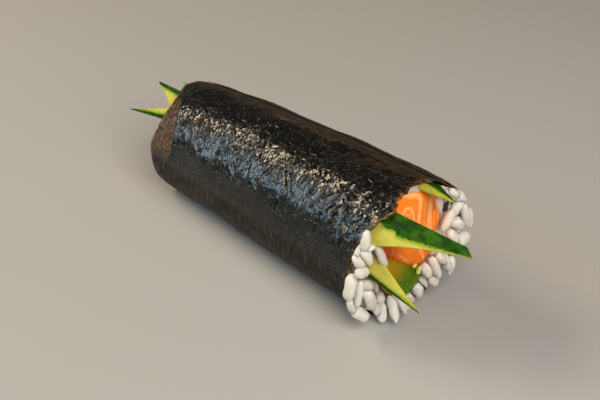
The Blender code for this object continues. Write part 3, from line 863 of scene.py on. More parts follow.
def nori_material(settings):
    """Roasted nori: near-black and glossy, crumpled into small facets, brown where it is thin, with
    painted light shining through there and painted sheen on its sides.
    """
    made, nodes = new_material("nori")
    flat = nodes.put("ShaderNodeUVMap", uv_map="Sheet").outputs["UV"]
    thin, crumpled, fibrous, lengthwise = map(
        nodes.stored, ("thin", "crumpled", "fibrous", "lengthwise"),
    )
    # Colour: mottled, with pale strands of painted sheen on its lower and upper sides, and amber
    # where it is thin, painted light shining through
    dark = nodes.group(mottle_group(), Places=flat, Patch_size=4.0, Balance=0.64, Softness=0.12,
                       First=settings.colour, Second=settings.brown)
    # Streaks of painted sheen where grazing reflections fall: round the roll on its lower side,
    # along it on its upper side
    round_it = nodes.noise(nodes.stretched(flat, 0.22, 1.3, 1.0), 1.0, detail=4.0, rough=0.65)
    along_it = nodes.noise(nodes.stretched(flat, 1.5, 0.13, 1.0), 1.0, detail=4.0, rough=0.65)
    lower_sheen_streaks = nodes.times(nodes.spread(round_it, 0.48, 0.70), fibrous)
    grain = nodes.times(nodes.spread(along_it, 0.50, 0.66), lengthwise)
    fibre_sheen = nodes.most(lower_sheen_streaks, grain)
    dim_sheen = tuple(part * share for part, share in zip(settings.fibre_sheen, (0.55, 0.38, 0.22)))
    colour = nodes.mix(lower_sheen_streaks, dark["Colour"], settings.fibre_sheen)
    colour = nodes.mix(grain, colour, dim_sheen)
    # Thin places: brown and amber, painted light shining through the sheet
    spots = nodes.spread(nodes.noise(flat, 0.75, detail=4.0, rough=0.7), 0.42, 0.62)
    colour = nodes.mix(thin, colour, nodes.mix(spots, settings.brown, settings.amber_glow))

    # Relief, in mm: wide and small facets, pimples, fine folds and fibres
    wide = nodes.group(crumple_group(), Places=flat, Facet_size=3.2, Tilt=0.045, Softness=0.20)
    small = nodes.group(crumple_group(), Places=flat, Facet_size=0.85, Tilt=0.34, Softness=0.12)
    where = nodes.spread(nodes.noise(flat, 0.16, detail=2.0), 0.38, 0.62, 0.35, 1.0)
    small = nodes.times(small["Height"], nodes.times(where, crumpled))
    pimples = nodes.spread(nodes.cells(flat, 0.68, 0.85), 0.05, 0.32, 0.085, 0.0)
    folds = nodes.noise(nodes.stretched(flat, 0.45, 1.0, 1.0), 0.42, distort=1.2)
    folds = nodes.maths("ABSOLUTE", nodes.maths("SUBTRACT", folds, 0.5))
    folds = nodes.spread(folds, 0.0, 0.04, -0.12, 0.0)
    height = nodes.plus(nodes.plus(wide["Height"], small), nodes.plus(pimples, folds))
    height = nodes.maths("MULTIPLY_ADD", fibre_sheen, 0.08, height)

    # Gloss: matte where the painted sheen lies or the sheet is thin, and less mirror-like seen
    # edge-on
    gloss = nodes.spread(nodes.noise(flat, 0.5, detail=4.0), 0.35, 0.65, 0.10, 0.20)
    matte = nodes.most(fibrous, nodes.times(lengthwise, 0.6))
    matte = nodes.most(matte, nodes.times(thin, 0.35))
    gloss = nodes.spread(matte, 0.0, 1.0, gloss, 0.85)
    edge_on = nodes.put("ShaderNodeLayerWeight").outputs["Facing"]
    nodes.shade(
        Base_Color=colour, Normal=nodes.bump(height, 1.0),
        Roughness=nodes.spread(edge_on, 0.62, 0.92, gloss, 0.60), Specular_IOR_Level=0.36,
    )
    return made


def rice_material(settings):
    """Cooked rice: white and moist, clearer where it is wet, with a painted pink reflection of the
    salmon beside it.
    """
    made, nodes = new_material("rice")
    places = nodes.places()
    uneven = nodes.spread(nodes.noise(places, 0.8), 0.35, 0.75, -0.12, 0.18)
    clear = nodes.plus(nodes.stored("tone"), uneven, clamp=True)
    colour = nodes.mix(clear, settings.white, settings.clear)
    # Painted reflection of the salmon: pink on the grains beside its cut face
    colour = nodes.mix(nodes.times(nodes.stored("blush"), 0.7), colour, settings.blush)
    nodes.shade(
        Base_Color=colour, **nodes.moist(places, 1.8, 0.22, 0.44, 0.16),
        **glow(1.0, (1.0, 0.92, 0.80), 2.2, 0.20),
    )
    return made


def salmon_material(settings):
    """Raw salmon: moist orange flesh with pale fat lines, darker and redder towards the sheet,
    partly painted shade.
    """
    made, nodes = new_material("salmon")
    places, fat = nodes.places(), nodes.stored("fat")
    cloud = nodes.spread(nodes.noise(places, 0.35, detail=4.0), 0.3, 0.7, -0.12, 0.16)
    # Painted shade over some real deeper red, broken up by the cloud; the fat lines fade in it
    deep = nodes.plus(nodes.stored("depth"), cloud, clamp=True)
    streaks = nodes.noise(nodes.stretched(places, 0.3, 2.0, 0.30), 1.0, detail=4.0, rough=0.6)
    streaks = nodes.spread(streaks, 0.52, 0.74, 0.0, 0.28)
    uneven = nodes.spread(nodes.noise(places, 1.6), 0.25, 0.60, 0.45, 1.0)
    pale = nodes.maths("MULTIPLY_ADD", fat, uneven, streaks, clamp=True)
    pale = nodes.times(pale, nodes.spread(deep, 0.1, 1.0, 1.0, 0.25))
    flesh = nodes.mix(deep, settings.flesh, settings.deep)
    nodes.shade(
        Base_Color=nodes.mix(pale, flesh, settings.fat),
        **nodes.moist(places, 2.2, 0.26, 0.46, 0.10, relief=fat, share=-0.6),
        **glow(0.25, (1.0, 0.30, 0.08), 1.2, 0.22),
    )
    return made


def avocado_material(settings):
    """Ripe avocado: yellow near the stone, green near the skin, smooth and buttery; the orange of
    its yellow side is partly painted light reflected from the salmon.
    """
    made, nodes = new_material("avocado")
    places, ripe = nodes.places(), nodes.stored("green")
    cloud = nodes.spread(nodes.noise(places, 0.30, detail=4.0), 0.3, 0.7, -0.18, 0.18)
    green = nodes.plus(ripe, cloud, clamp=True)
    colour = nodes.mix(green, settings.yellow, settings.green)
    flecks = nodes.spread(nodes.noise(places, 1.9, detail=2.0, rough=0.7), 0.60, 0.72)
    flecks = nodes.times(flecks, nodes.times(nodes.spread(ripe, 0.75, 1.0), 0.8))
    nodes.shade(
        Base_Color=nodes.mix(flecks, colour, settings.fleck),
        **nodes.moist(places, 2.6, 0.34, 0.55, 0.12),
        **glow(0.15, (0.8, 0.7, 0.1), 1.0, 0.12),
    )
    return made


def cucumber_material(settings):
    """Cucumber: glossy dark rind over flesh that pales away from it."""
    made, nodes = new_material("cucumber")
    places = nodes.places()
    jag = nodes.maths("SUBTRACT", nodes.noise(places, 0.9), 0.5)
    below = nodes.maths("MULTIPLY_ADD", jag, 1.1, nodes.stored("below_rind"))
    skin = nodes.group(mottle_group(), Places=nodes.stretched(places, 0.45, 1.0, 1.0),
                       Patch_size=2.2, Balance=0.52, Softness=0.16,
                       First=settings.rind, Second=settings.rind_light)
    grain = nodes.noise(nodes.stretched(places, 0.35, 2.2, 2.2), 0.8)
    half_green = tuple(0.5 * (a + b) for a, b in zip(settings.flesh, settings.under_rind))
    pale = nodes.mix(nodes.spread(grain, 0.35, 0.70, 0.0, 0.55), settings.flesh, half_green)
    flesh = nodes.mix(nodes.spread(below, 0.0, 1.5), settings.under_rind, pale)
    rind = nodes.spread(below, -0.12, 0.42, 1.0, 0.0)
    nodes.shade(
        Base_Color=nodes.mix(rind, flesh, skin["Colour"]),
        **nodes.moist(places, 1.4, 0.36, 0.58, 0.12, relief=grain, share=0.6),
        **glow(0.18, (0.7, 1.0, 0.2), 0.9, 0.04),
    )
    return made


# ---- nori


def crease_depth(degrees, x, radius):
    """How deep the creases press the sheet in, in mm, and where the deepest take the thin places'
    colour, painted light shining through.
    """
    depth = np.zeros_like(x)
    crease_glow = np.zeros_like(x)
    for (angle_a, x_a), (angle_b, x_b), deep, wide in CREASES:
        arc = np.radians(degrees - angle_a) * radius
        run = np.array((math.radians(angle_b - angle_a) * radius, x_b - x_a))
        share = np.clip((arc * run[0] + (x - x_a) * run[1]) / (run @ run), 0, 1)
        away = np.hypot(arc - share * run[0], x - x_a - share * run[1])
        width = wide * (0.35 + 1.3 * np.sin(np.pi * share))
        there = np.exp(-(away / width) ** 2)
        depth += deep * there
        crease_glow = np.maximum(crease_glow, there * (deep > GLOWING_CREASE))
    return depth, crease_glow


def fold_distance(degrees, x):
    """How far a place lies on the far side of the line where the far end folds in, in mm."""
    angles, lines = zip(*FOLD_LINE)
    return np.interp(degrees, angles, lines, left=-80, right=-80) - x


def nori_relief(arc, x, degrees, settings):
    """Height of the sheet's wrinkles in mm, and its masks by name."""
    size = settings.crinkle_size / MM
    warp = ripple(np.stack([arc, x], -1), size * 2.2, 3.1) * size * 0.5
    places = np.stack([arc + warp, x + warp * 0.7], -1)
    ridges = 1 - 2.6 * np.abs(ripple(places, size, 7.7))
    small = ripple(places, size * 0.45, 12.3)
    broad = ripple(places, size * 2.6, 1.9)
    open_end = soft_step(x, 30, 44)
    relief = settings.crinkle / MM * ((1 + open_end) * (ridges + 0.55 * small) + 3.0 * broad)
    depth, crease_glow = crease_depth(degrees, x, ROLL_RADIUS)
    relief -= depth
    beyond = fold_distance(degrees, x)
    relief += 0.25 * np.exp(-(beyond / 0.8) ** 2) - 0.20 * soft_step(beyond, 0.0, 6.0)
    # Thin places, where painted light shines through: the folded-in patch at the far end and the
    # deepest creases
    thin = soft_step(beyond, 0.0, 1.2) * (1 - soft_step(degrees, 166, 182))
    thin *= soft_step(degrees, 108, 124)
    upper = soft_step(degrees, 114, 121) * (1 - soft_step(degrees, 132, 148))
    front = open_end * soft_step(degrees, 104, 122)
    # Masks: thin places, where painted light shines through; crumpled places; and painted sheen on
    # the lower and upper sides
    return relief, {
        "thin": np.maximum(thin * 0.66, crease_glow * 0.7),
        "crumpled": 0.12 + 0.35 * upper + 0.60 * front * (1 - 0.4 * upper),
        "fibrous": soft_step(degrees, 172, 192) * (1 - soft_step(degrees, 255, 275)),
        "lengthwise": soft_step(degrees, 30, 45) * (1 - soft_step(degrees, 78, 88)),
    }


def sheet_edges(turns, angles):
    """Where the sheet's torn edges run at the open end and at the far one, in mm along X."""
    random.seed(NORI_SEED)
    marks = range(round(NORI_TURNS * NORI_STEPS_ROUND) + 1)
    rag = np.array([(random.uniform(-1, 1), random.uniform(-1, 1)) for _ in marks])
    at = turns * NORI_STEPS_ROUND
    arcs = turns * math.tau * ROLL_RADIUS
    tear = np.stack([arcs, arcs * 0], -1)
    degrees = np.degrees(angles) % 360
    torn = 0.8 + 1.0 * soft_step(degrees, 96, 108) * (1 - soft_step(degrees, 150, 165))
    rips = torn * (ripple(tear, 1.1, 5.5) + 0.7 * ripple(tear, 0.5, 2.5))
    near = ring_values(TORN_EDGE, angles) + NORI_RAG * (np.interp(at, marks, rag[:, 0]) + rips)
    rips = 0.8 * ripple(tear, 1.1, 9.5)
    far = ring_values(FAR_EDGE, angles) + NORI_RAG * (np.interp(at, marks, rag[:, 1]) + rips)
    return near, far


def sheet_faces(rows, columns, inner_columns):
    """Joins the sheet's outer side to its coarser inner side, with a rim on all four edges."""
    inner_count = len(inner_columns)
    start = rows * columns
    faces = []
    for row in range(rows - 1):
        low, high = row * columns, (row + 1) * columns
        faces += [(low + i, high + i, high + i + 1, low + i + 1) for i in range(columns - 1)]
        back, back_high = start + row * inner_count, start + (row + 1) * inner_count
        faces += [
            (back + i, back + i + 1, back_high + i + 1, back_high + i)
            for i in range(inner_count - 1)
        ]
        last = inner_count - 1
        faces.append((low, back, back_high, high))
        faces.append((high - 1, high + columns - 1, back_high + last, back + last))
    for row, turned in ((0, False), (rows - 1, True)):
        back = start + row * inner_count
        for i, (here, ahead) in enumerate(zip(inner_columns, inner_columns[1:])):
            face = [row * columns + k for k in range(here, ahead + 1)] + [back + i + 1, back + i]
            faces.append(tuple(reversed(face)) if turned else tuple(face))
    return faces


def nori_mesh(settings):
    """The sheet as rows of points from its seam inwards: points, faces, masks and flat places."""
    step = settings.step / MM
    fine_steps = round(math.tau * ROLL_RADIUS / step)
    turns = np.concatenate([
        np.linspace(0, SHOWN_TURNS, fine_steps + 1),
        np.linspace(SHOWN_TURNS, NORI_TURNS, round(fine_steps * HIDDEN_STEPS_SHARE))[1:],
    ])
    columns = round(2 * HALF_LENGTH / step)
    shares = np.linspace(0, 1, columns)
    angles = NORI_SEAM - turns * math.tau
    near, far = sheet_edges(turns, angles)
    x = far[:, None] + (near - far)[:, None] * shares[None, :]
    angle, arc, turn = (
        np.broadcast_to(values[:, None], x.shape)
        for values in (angles, turns * math.tau * ROLL_RADIUS, turns)
    )
    places = np.stack([arc.ravel(), x.ravel()], -1)
    relief, masks = nori_relief(*places.T, np.degrees(angle.ravel()) % 360, settings)
    hem = np.minimum(shares, 1 - shares)[None, :] * 2 * HALF_LENGTH
    seam = soft_step(turn, 0.0, SEAM_SHARE)
    relief = relief.reshape(x.shape) * (0.45 + 0.55 * soft_step(hem, 0.0, 2.5))
    relief = relief * (turn < 1.0) * (0.15 + 0.85 * seam)
    # The torn edges take the thin places' colour too, painted light shining through them
    frayed = 1.5 - hem / 1.1 + 0.8 * ripple(places, 0.8, 6.1).reshape(x.shape)
    masks["thin"] = np.maximum(masks["thin"], 0.8 * np.clip(frayed, 0, 1).ravel())
    base = roll_radius(x, angle) + LAYER_PITCH * (0.5 - turn) - SEAM_PRESSED * (1 - seam)
    thickness = SHEET_EDGE * (0.5 + 0.5 * seam)

    def placed(radius, least):
        points = [x, radius * np.cos(angle), axis_height(x) + radius * np.sin(angle)]
        points[2] = np.maximum(points[2], least)
        return np.stack(points, -1)

    between = np.linspace(HEM_COLUMNS, columns - 1 - HEM_COLUMNS, INNER_COLUMNS).astype(int)
    hems = [*range(HEM_COLUMNS), *range(columns - HEM_COLUMNS, columns)]
    inner_columns = np.unique(np.concatenate([hems, between]))

    def both_sides(outer, inner):
        sides = outer, inner[:, inner_columns]
        return np.concatenate([side.reshape(-1, *side.shape[2:]) for side in sides])

    points = both_sides(placed(base + relief, 0.0), placed(base + relief - thickness, SHEET_EDGE))
    faces = sheet_faces(len(turns), columns, inner_columns)
    masks = {name: mask.reshape(x.shape) for name, mask in masks.items()}
    masks = {name: both_sides(mask, mask) for name, mask in masks.items()}
    return points, faces, masks, both_sides(arc, arc), both_sides(x, x)


class HANDROLL_OT_nori(bpy.types.Operator):
    """Wraps the roll in a crinkled sheet of roasted nori with torn ends"""

    bl_idname = "handroll.nori"
    bl_label = "Nori"

    def execute(self, context):
        settings = context.scene.hand_roll_nori
        points, faces, masks, across, along = nori_mesh(settings)
        finish = nori_material(settings)
        piece = new_piece("nori_sheet", points, faces, finish, "nori", ["nori_wrap"])
        point_values(piece, **masks)
        lay_flat(piece, across, along)
        return {"FINISHED"}


# ---- rice


def grain_rings(place, length, width):
    """A grain as the solid model has it, for finding whether it is clear."""
    rings = [[Vector((-length / 2, 0, 0))]]
    for along, out in GRAIN_RINGS:
        ring = []
        for side in range(GRAIN_SIDES):
            angle = math.tau * (side + 0.5 * (along == 0)) / GRAIN_SIDES
            across = out * width / 2 * math.cos(angle)
            up = out * width / 2 * GRAIN_FLATNESS * math.sin(angle)
            ring.append(Vector((along * length / 2, across, up)))
        rings.append(ring)
    rings.append([Vector((length / 2, 0, 0))])
    return [[place @ point for point in ring] for ring in rings]


def grain_place(centre, heading, lean, roll):
    turn = Matrix.Rotation(heading, 4, "X") @ Matrix.Rotation(math.pi / 2 - lean, 4, "Z")
    return Matrix.Translation(centre) @ turn @ Matrix.Rotation(roll, 4, "X")


def inside(outline, point):
    found = False
    for here, ahead in zip(outline, outline[1:] + outline[:1]):
        if (here.y > point.y) != (ahead.y > point.y):
            crossing = here.x + (point.y - here.y) / (ahead.y - here.y) * (ahead.x - here.x)
            if point.x < crossing:
                found = not found
    return found


def outline_gap(outline, point):
    """Distance from a point (y, z) to a closed outline, less than zero inside it."""
    least = math.inf
    for here, ahead in zip(outline, outline[1:] + outline[:1]):
        side = ahead - here
        share = max(0.0, min(1.0, (point - here).dot(side) / max(side.length_squared, TINY)))
        least = min(least, (here + side * share - point).length)
    return -least if inside(outline, point) else least


def section_at(rings, x):
    """The outline (y, z) in which a plane across X cuts lofted rings, or None past their ends."""
    for low, high in zip(rings, rings[1:]):
        low_x, high_x = (sum(point.x for point in ring) / len(ring) for ring in (low, high))
        if low_x <= x <= high_x and high_x > low_x:
            share = (x - low_x) / (high_x - low_x)
            return [a.lerp(b, share).yz for a, b in zip(low, high)]
    return None


def point_blocked(point, fillings, clearance=GRAIN_CLEARANCE):
    """Whether a point of a grain would touch a filling, the sheet or the floor."""
    if point.z < GRAIN_FLOOR:
        return True
    away = point.yz - Vector((0, axis_height(point.x)))
    angle = math.atan2(away.y, away.x)
    near, far = ring_value(NEAR_EDGE, angle), ring_value(FAR_EDGE, angle)
    margin = NORI_RAG + LAYER_GAP
    if far - margin < point.x < near + margin:
        limit = sheet_inside(min(max(point.x, far), near), angle) - clearance
        if away.length > limit or point.z < LAYER_PITCH:
            return True
    for rings in fillings.values():
        outline = section_at(rings, point.x)
        if outline and outline_gap(outline, point.yz) < clearance:
            return True
    return False


def grain_blocked(rings, fillings):
    for ring, ahead in zip(rings, rings[1:]):
        for i in range(max(len(ring), len(ahead))):
            here, there = ring[i % len(ring)], ahead[i % len(ahead)]
            if point_blocked(here, fillings) or point_blocked((here + there) / 2, fillings):
                return True
    return point_blocked(rings[-1][0], fillings)


def over_face(point, fillings, ring, margin):
    """Whether a point lies over the cut face of the salmon or the avocado, or near it."""
    outlines = ([corner.yz for corner in fillings[name][ring]] for name in ("salmon", "avocado"))
    return any(outline_gap(outline, point.yz) < margin for outline in outlines)


def hides_filling(place, length, fillings):
    """Whether a grain reaches over a cut face at the open end."""
    points = (place @ Vector((share * length, 0, 0)) for share in (-0.5, -0.25, 0.0, 0.25, 0.5))
    return any(over_face(point, fillings, -2, COVER_MARGIN) for point in points)


def too_near(centre, others, apart):
    return any((centre - other).length < apart for other in others)


def rice_face(way, angle):
    return ring_value(RICE_NEAR_FACE, angle) if way > 0 else RICE_FAR_FACE


def chosen_grains():
    """The grains that stand out at the ends, each in its own place."""
    random.seed(RICE_SEED)
    for grain in CHOSEN_GRAINS:
        centre = on_roll(grain.x, math.radians(grain.angle), grain.radius)
        roll = random.uniform(0, math.pi)
        place = grain_place(centre, math.radians(grain.heading), math.radians(grain.lean), roll)
        yield place, grain.length, grain.width


def scattered_grains(fillings):
    """Grains over both packed faces, as on the solid, but clear of the chosen ones."""
    chosen = [place.translation for place, _, _ in chosen_grains()]
    random.seed(RICE_SEED)
    for way, layer_x, wanted, apart, steep in RICE_LAYERS:
        placed = []
        for _ in range(wanted * SCATTER_TRIES):
            if len(placed) == wanted:
                break
            angle = random.uniform(0, math.tau)
            radius = GRAIN_REACH * math.sqrt(random.random())
            depth = random.uniform(-SCATTER_DEPTH, SCATTER_DEPTH)
            x = rice_face(way, angle) + way * layer_x + depth
            centre = on_roll(x, angle, radius * plain_radius(x))
            end = -1 if centre.x > 0 else 0
            if over_face(centre, fillings, end, FACE_MARGIN) or too_near(centre, placed, apart):
                continue
            lean = random.choice((-1, 1)) * random.uniform(0, steep)
            heading, roll = random.uniform(0, math.tau), random.uniform(0, math.pi)
            place = grain_place(centre, heading, lean, roll)
            length = GRAIN_LENGTH * random.uniform(*GRAIN_LENGTHS)
            width = GRAIN_WIDTH * random.uniform(*GRAIN_WIDTHS)
            if grain_blocked(grain_rings(place, length, width), fillings):
                continue
            placed.append(centre)
            if way < 0 or not (
                too_near(centre, chosen, CHOSEN_ROOM) or hides_filling(place, length, fillings)
            ):
                yield place, length, width


def filling_grains(fillings, wanted):
    """Grains tucked in behind the others, so that no bare core shows between them."""
    random.seed(RICE_SEED + 1)
    placed = []
    for _ in range(wanted * SCATTER_TRIES):
        if len(placed) == wanted:
            break
        way = 1 if random.random() < FILLER_NEAR_SHARE else -1
        angle = random.uniform(0, math.tau)
        radius = FILLER_REACH * math.sqrt(random.random())
        x = rice_face(way, angle) - way * random.uniform(*FILLER_DEPTHS)
        centre = on_roll(x, angle, radius * plain_radius(x))
        if too_near(centre, placed, FILLER_APART) or point_blocked(
            centre, fillings, FILLER_MIDDLE_CLEARANCE
        ):
            continue
        heading, lean = random.uniform(0, math.tau), random.uniform(-0.3, 0.3)
        place = grain_place(centre, heading, lean, random.uniform(0, math.pi))
        length = GRAIN_LENGTH * random.uniform(*FILLER_LENGTHS)
        width = GRAIN_WIDTH * random.uniform(*FILLER_WIDTHS)
        ends = (place @ Vector((share * length / 2, 0, 0)) for share in (-0.9, -0.5, 0.5, 0.9))
        if any(point_blocked(end, fillings, FILLER_END_CLEARANCE) for end in ends):
            continue
        if way < 0 or not hides_filling(place, length, fillings):
            placed.append(centre)
            yield place, length, width


def grain_template(sides=14, rings=11):
    """Points of one plump grain along X, from -1 to 1 long and -1 to 1 wide, and its faces."""
    points = [(-1.0, 0.0, 0.0)]
    for ring in range(1, rings + 1):
        along = -math.cos(math.pi * ring / (rings + 1))
        out = (1 - abs(along) ** 2.5) ** 0.5
        out *= 1 - 0.08 * along
        for side in range(sides):
            angle = math.tau * side / sides
            groove = 1 - 0.05 * max(0.0, math.cos(angle - 1.2)) ** 6
            points.append((along, out * groove * math.cos(angle), out * groove * math.sin(angle)))
    points.append((1.0, 0.0, 0.0))
    faces = fan_faces(0, 1, sides, False) + tube_faces(rings, sides, 1)
    faces += fan_faces(len(points) - 1, len(points) - 1 - sides, sides, True)
    return np.array(points), faces


def pressed_inside(points):
    """Grains give way where the sheet or the floor would cut into them."""
    x, y, z = points.T
    axis = axis_height(x)
    angle = np.arctan2(z - axis, y)
    turn = (NORI_SEAM - angle) % math.tau / math.tau
    turn = np.where(turn < NORI_TURNS - 1, turn + 1, turn)
    limit = roll_radius(x, angle) + LAYER_PITCH * (0.5 - turn) - PRESSED_BELOW
    near, far = ring_values(TORN_EDGE, angle), ring_values(FAR_EDGE, angle)
    wrapped = (x < near - PRESSED_MARGIN) & (x > far + PRESSED_MARGIN)
    away = np.hypot(y, z - axis)
    scale = np.where(wrapped & (away > limit), limit / away, 1.0)
    return np.stack([x, y * scale, np.maximum(axis + (z - axis) * scale, PRESSED_FLOOR)], -1)


def grains_mesh(grains, fillings):
    """All grains in one mesh, with each point's tone and the painted reflection of the salmon,
    stronger the nearer the grain is to it.
    """
    template, template_faces = grain_template()
    random.seed(RICE_SEED + 2)
    salmon = [point.yz for point in fillings["salmon"][-1]]
    points, tones, salmon_reflections = [], [], []
    for number, (place, length, width) in enumerate(grains):
        bend = random.uniform(0.0, 0.22)
        lumps = [random.uniform(-0.05, 0.05) for _ in range(3)]
        shape = template.copy()
        shape[:, 1] += bend * (1 - shape[:, 0] ** 2) - bend * 0.5
        for wave, lump in enumerate(lumps):
            shape[:, 1:] *= (1 + lump * np.sin((wave + 1.5) * shape[:, :1] * 2 + wave))
        shape *= 1 + DENTS * noise_at(shape, DENT_SIZE, (0, 0, 7.0 * number))[:, None]
        shape *= np.array((length / 2, width / 2, width / 2 * GRAIN_FLATNESS))
        shape *= np.array((1.0, PLUMPNESS, PLUMPNESS))
        matrix = np.array(place)
        points.append(pressed_inside(shape @ matrix[:3, :3].T + matrix[:3, 3]))
        tones.append(random.betavariate(1.3, 3.2))
        centre = Vector(points[-1].mean(0))
        gap = outline_gap(salmon, centre.yz) if centre.x > 0 else math.inf
        salmon_reflections.append(max(0.0, 1 - max(0.0, gap) / SALMON_REFLECTION_REACH) * 0.8)
    size = len(template)
    faces = repeated(template_faces, len(points), size)
    return np.concatenate(points), faces, np.repeat(tones, size), np.repeat(salmon_reflections, size)


def core_mesh():
    """Packed rice behind the loose grains: a lumpy body inside the sheet."""
    rings = [(0.0, share) for share in CORE_CAP]
    rings += [(step / CORE_STATIONS, 1.0) for step in range(CORE_STATIONS + 1)]
    rings += [(1.0, share) for share in reversed(CORE_CAP)]
    points = []
    for station, share in rings:
        for step in range(CORE_FINE_STEPS_ROUND):
            angle = math.tau * step / CORE_FINE_STEPS_ROUND
            near = ring_value(RICE_NEAR_FACE, angle) - CORE_SET_BACK
            x = blend(RICE_FAR_FACE + CORE_SET_BACK, near, station)
            radius = (sheet_inside(x, angle) - CORE_CLEARANCE) * max(share, 0.01)
            point = on_roll(x, angle, radius)
            point.z = max(point.z, LAYER_PITCH)
            lump = noise.noise(Vector((point.y, point.z, station * 9)) / CORE_LUMP_SIZE)
            point.x += CORE_LUMP * lump * {1.0: 1, 0.0: -1}.get(station, 0)
            points.append(tuple(point))
    return np.array(points), closed_tube(len(rings), CORE_FINE_STEPS_ROUND)


class HANDROLL_OT_rice(bpy.types.Operator):
    """Fills both ends with cooked grains of rice over a packed core"""

    bl_idname = "handroll.rice"
    bl_label = "Rice"

    def execute(self, context):
        settings = context.scene.hand_roll_rice
        finish = rice_material(settings)
        fillings = filling_rings()
        grains = [*chosen_grains(), *scattered_grains(fillings)]
        grains += filling_grains(fillings, settings.fillers)
        if len(grains) < LEAST_GRAINS:
            raise RuntimeError("too few grains of rice found a place")
        points, faces, tones, salmon_reflections = grains_mesh(grains, fillings)
        loose = new_piece("rice_grains", points, faces, finish, "rice", ["rice"])
        point_values(loose, tone=tones, blush=salmon_reflections)
        points, faces = core_mesh()
        core = new_piece("rice_core", points, faces, finish, "rice")
        # A faint painted reflection of the salmon over the whole core
        point_values(core, tone=0.35, blush=0.1)
        return {"FINISHED"}


# ---- fillings


def strip_mesh(near, far, ends, rounds, relief, grow, face_rings=22):
    """A long filling with finely made cut faces, as points and faces."""
    cap = [1 - step / face_rings for step in range(1, face_rings)]
    rings = [(ends[1], share, -1) for share in reversed(cap)]
    for step in range(STRIP_STATIONS + 1):
        rings.append((blend(ends[1], ends[0], step / STRIP_STATIONS), 1.0, 0))
    rings += [(ends[0], share, 1) for share in cap]
    points = []
    for x, share, way in rings:
        outline = strip_section(near, far, x, ends, rounds, grow)
        middle = middle_of(outline)
        climb = min(1.0, (1 - share) / (FILLING_DRAW_IN * 1.6))
        rise = FILLING_DOME * math.sin(climb * math.pi / 2)
        for point in outline:
            place = middle.lerp(point, share)
            out = rise + relief(place) * min(1.0, (1 - share) * 8) if way else 0.0
            points.append((x + way * out, place.x, place.y))
    return np.array(points), closed_tube(len(rings), len(outline))


def salmon_relief(place):
    """The cut face is a little uneven, and dips along its fat lines."""
    y, z = place
    swell = 0.35 * noise.noise(Vector((y / 5, z / 5, 2.0)))
    swell += 0.1 * noise.noise(Vector((y, z, 8.0)))
    return swell - 0.12 * float(fat_at(np.array([[y, z]]))[0])


def fat_at(places):
    """How much of each place (y, z) on the cut face is fat, from 0 to 1."""
    most = np.zeros(len(places))
    for half_width, strength, line in FAT_LINES:
        line = np.array(line)
        for index, (here, ahead) in enumerate(zip(line, line[1:])):
            side = ahead - here
            share = np.clip((places - here) @ side / (side @ side), 0, 1)
            away = np.linalg.norm(places - here - share[:, None] * side, axis=1)
            along = (index + share) / (len(line) - 1)
            width = half_width * (1.15 - 0.45 * along)
            there = strength * (1 - soft_step(away, width * 0.15, width * 1.9))
            most = np.maximum(most, there)
    return most


class HANDROLL_OT_salmon(bpy.types.Operator):
    """Lays the strip of salmon through the roll"""

    bl_idname = "handroll.salmon"
    bl_label = "Salmon"

    def execute(self, context):
        points, faces = strip_mesh(
            SALMON_NEAR, SALMON_FAR, SALMON_ENDS, 4, salmon_relief, SALMON_GROWTH, 40,
        )
        finish = salmon_material(context.scene.hand_roll_salmon)
        piece = new_piece("salmon_strip", points, faces, finish, "salmon", ["salmon"])
        # Darker by the sheet's edge on the left, in the lower part and on the sides inside the
        # roll: painted shade, partly real deeper red
        left = 1 - soft_step(points[:, 1] + 0.25 * (points[:, 2] - 30), -9.5, -3.5)
        low = 1 - soft_step(points[:, 2], 15.0, 22.0)
        sides = 1 - soft_step(np.abs(points[:, 0]), 50.0, 52.0)
        depth = np.clip(np.maximum(left * 0.9, low * 0.35) + sides * 0.4, 0, 1)
        point_values(piece, depth=depth, fat=fat_at(points[:, 1:]))
        return {"FINISHED"}


def avocado_relief(place):
    y, z = place
    swell = 0.4 * noise.noise(Vector((y / 4, z / 4, 5.0)))
    return swell + 0.08 * noise.noise(Vector((y, z, 3.0)))


class HANDROLL_OT_avocado(bpy.types.Operator):
    """Lays the strip of avocado under the salmon"""

    bl_idname = "handroll.avocado"
    bl_label = "Avocado"

    def execute(self, context):
        points, faces = strip_mesh(
            AVOCADO_NEAR, AVOCADO_FAR, AVOCADO_ENDS, 3, avocado_relief, AVOCADO_GROWTH,
        )
        finish = avocado_material(context.scene.hand_roll_avocado)
        piece = new_piece("avocado_strip", points, faces, finish, "avocado", ["avocado"])
        # Yellow on the side towards the salmon, green on the far side: partly painted light
        # reflected from the salmon
        across = points[:, 1] * 0.75 - (points[:, 2] - 12.0) * 0.65
        point_values(piece, green=soft_step(across, -10.5, 0.5))
        return {"FINISHED"}


def stick_outline(corners):
    """A smooth closed outline through a stick's six corners, and each point's place along it."""
    points, marks = [], []
    count = len(corners)
    for i in range(count):
        here, ahead = corners[i], corners[(i + 1) % count]
        start, finish = (ahead - corners[i - 1]) / 2, (corners[(i + 2) % count] - here) / 2
        bulge = STICK_BACK_BULGE if i >= STICK_BACK_SIDES else STICK_BULGE
        for step in range(STICK_STEPS_A_SIDE):
            t = step / STICK_STEPS_A_SIDE
            curve = (
                here * (2 * t ** 3 - 3 * t ** 2 + 1) + start * (t ** 3 - 2 * t ** 2 + t)
                + ahead * (-2 * t ** 3 + 3 * t ** 2) + finish * (t ** 3 - t ** 2)
            )
            points.append(here.lerp(ahead, t).lerp(curve, bulge))
            marks.append(i + t)
    return points, marks


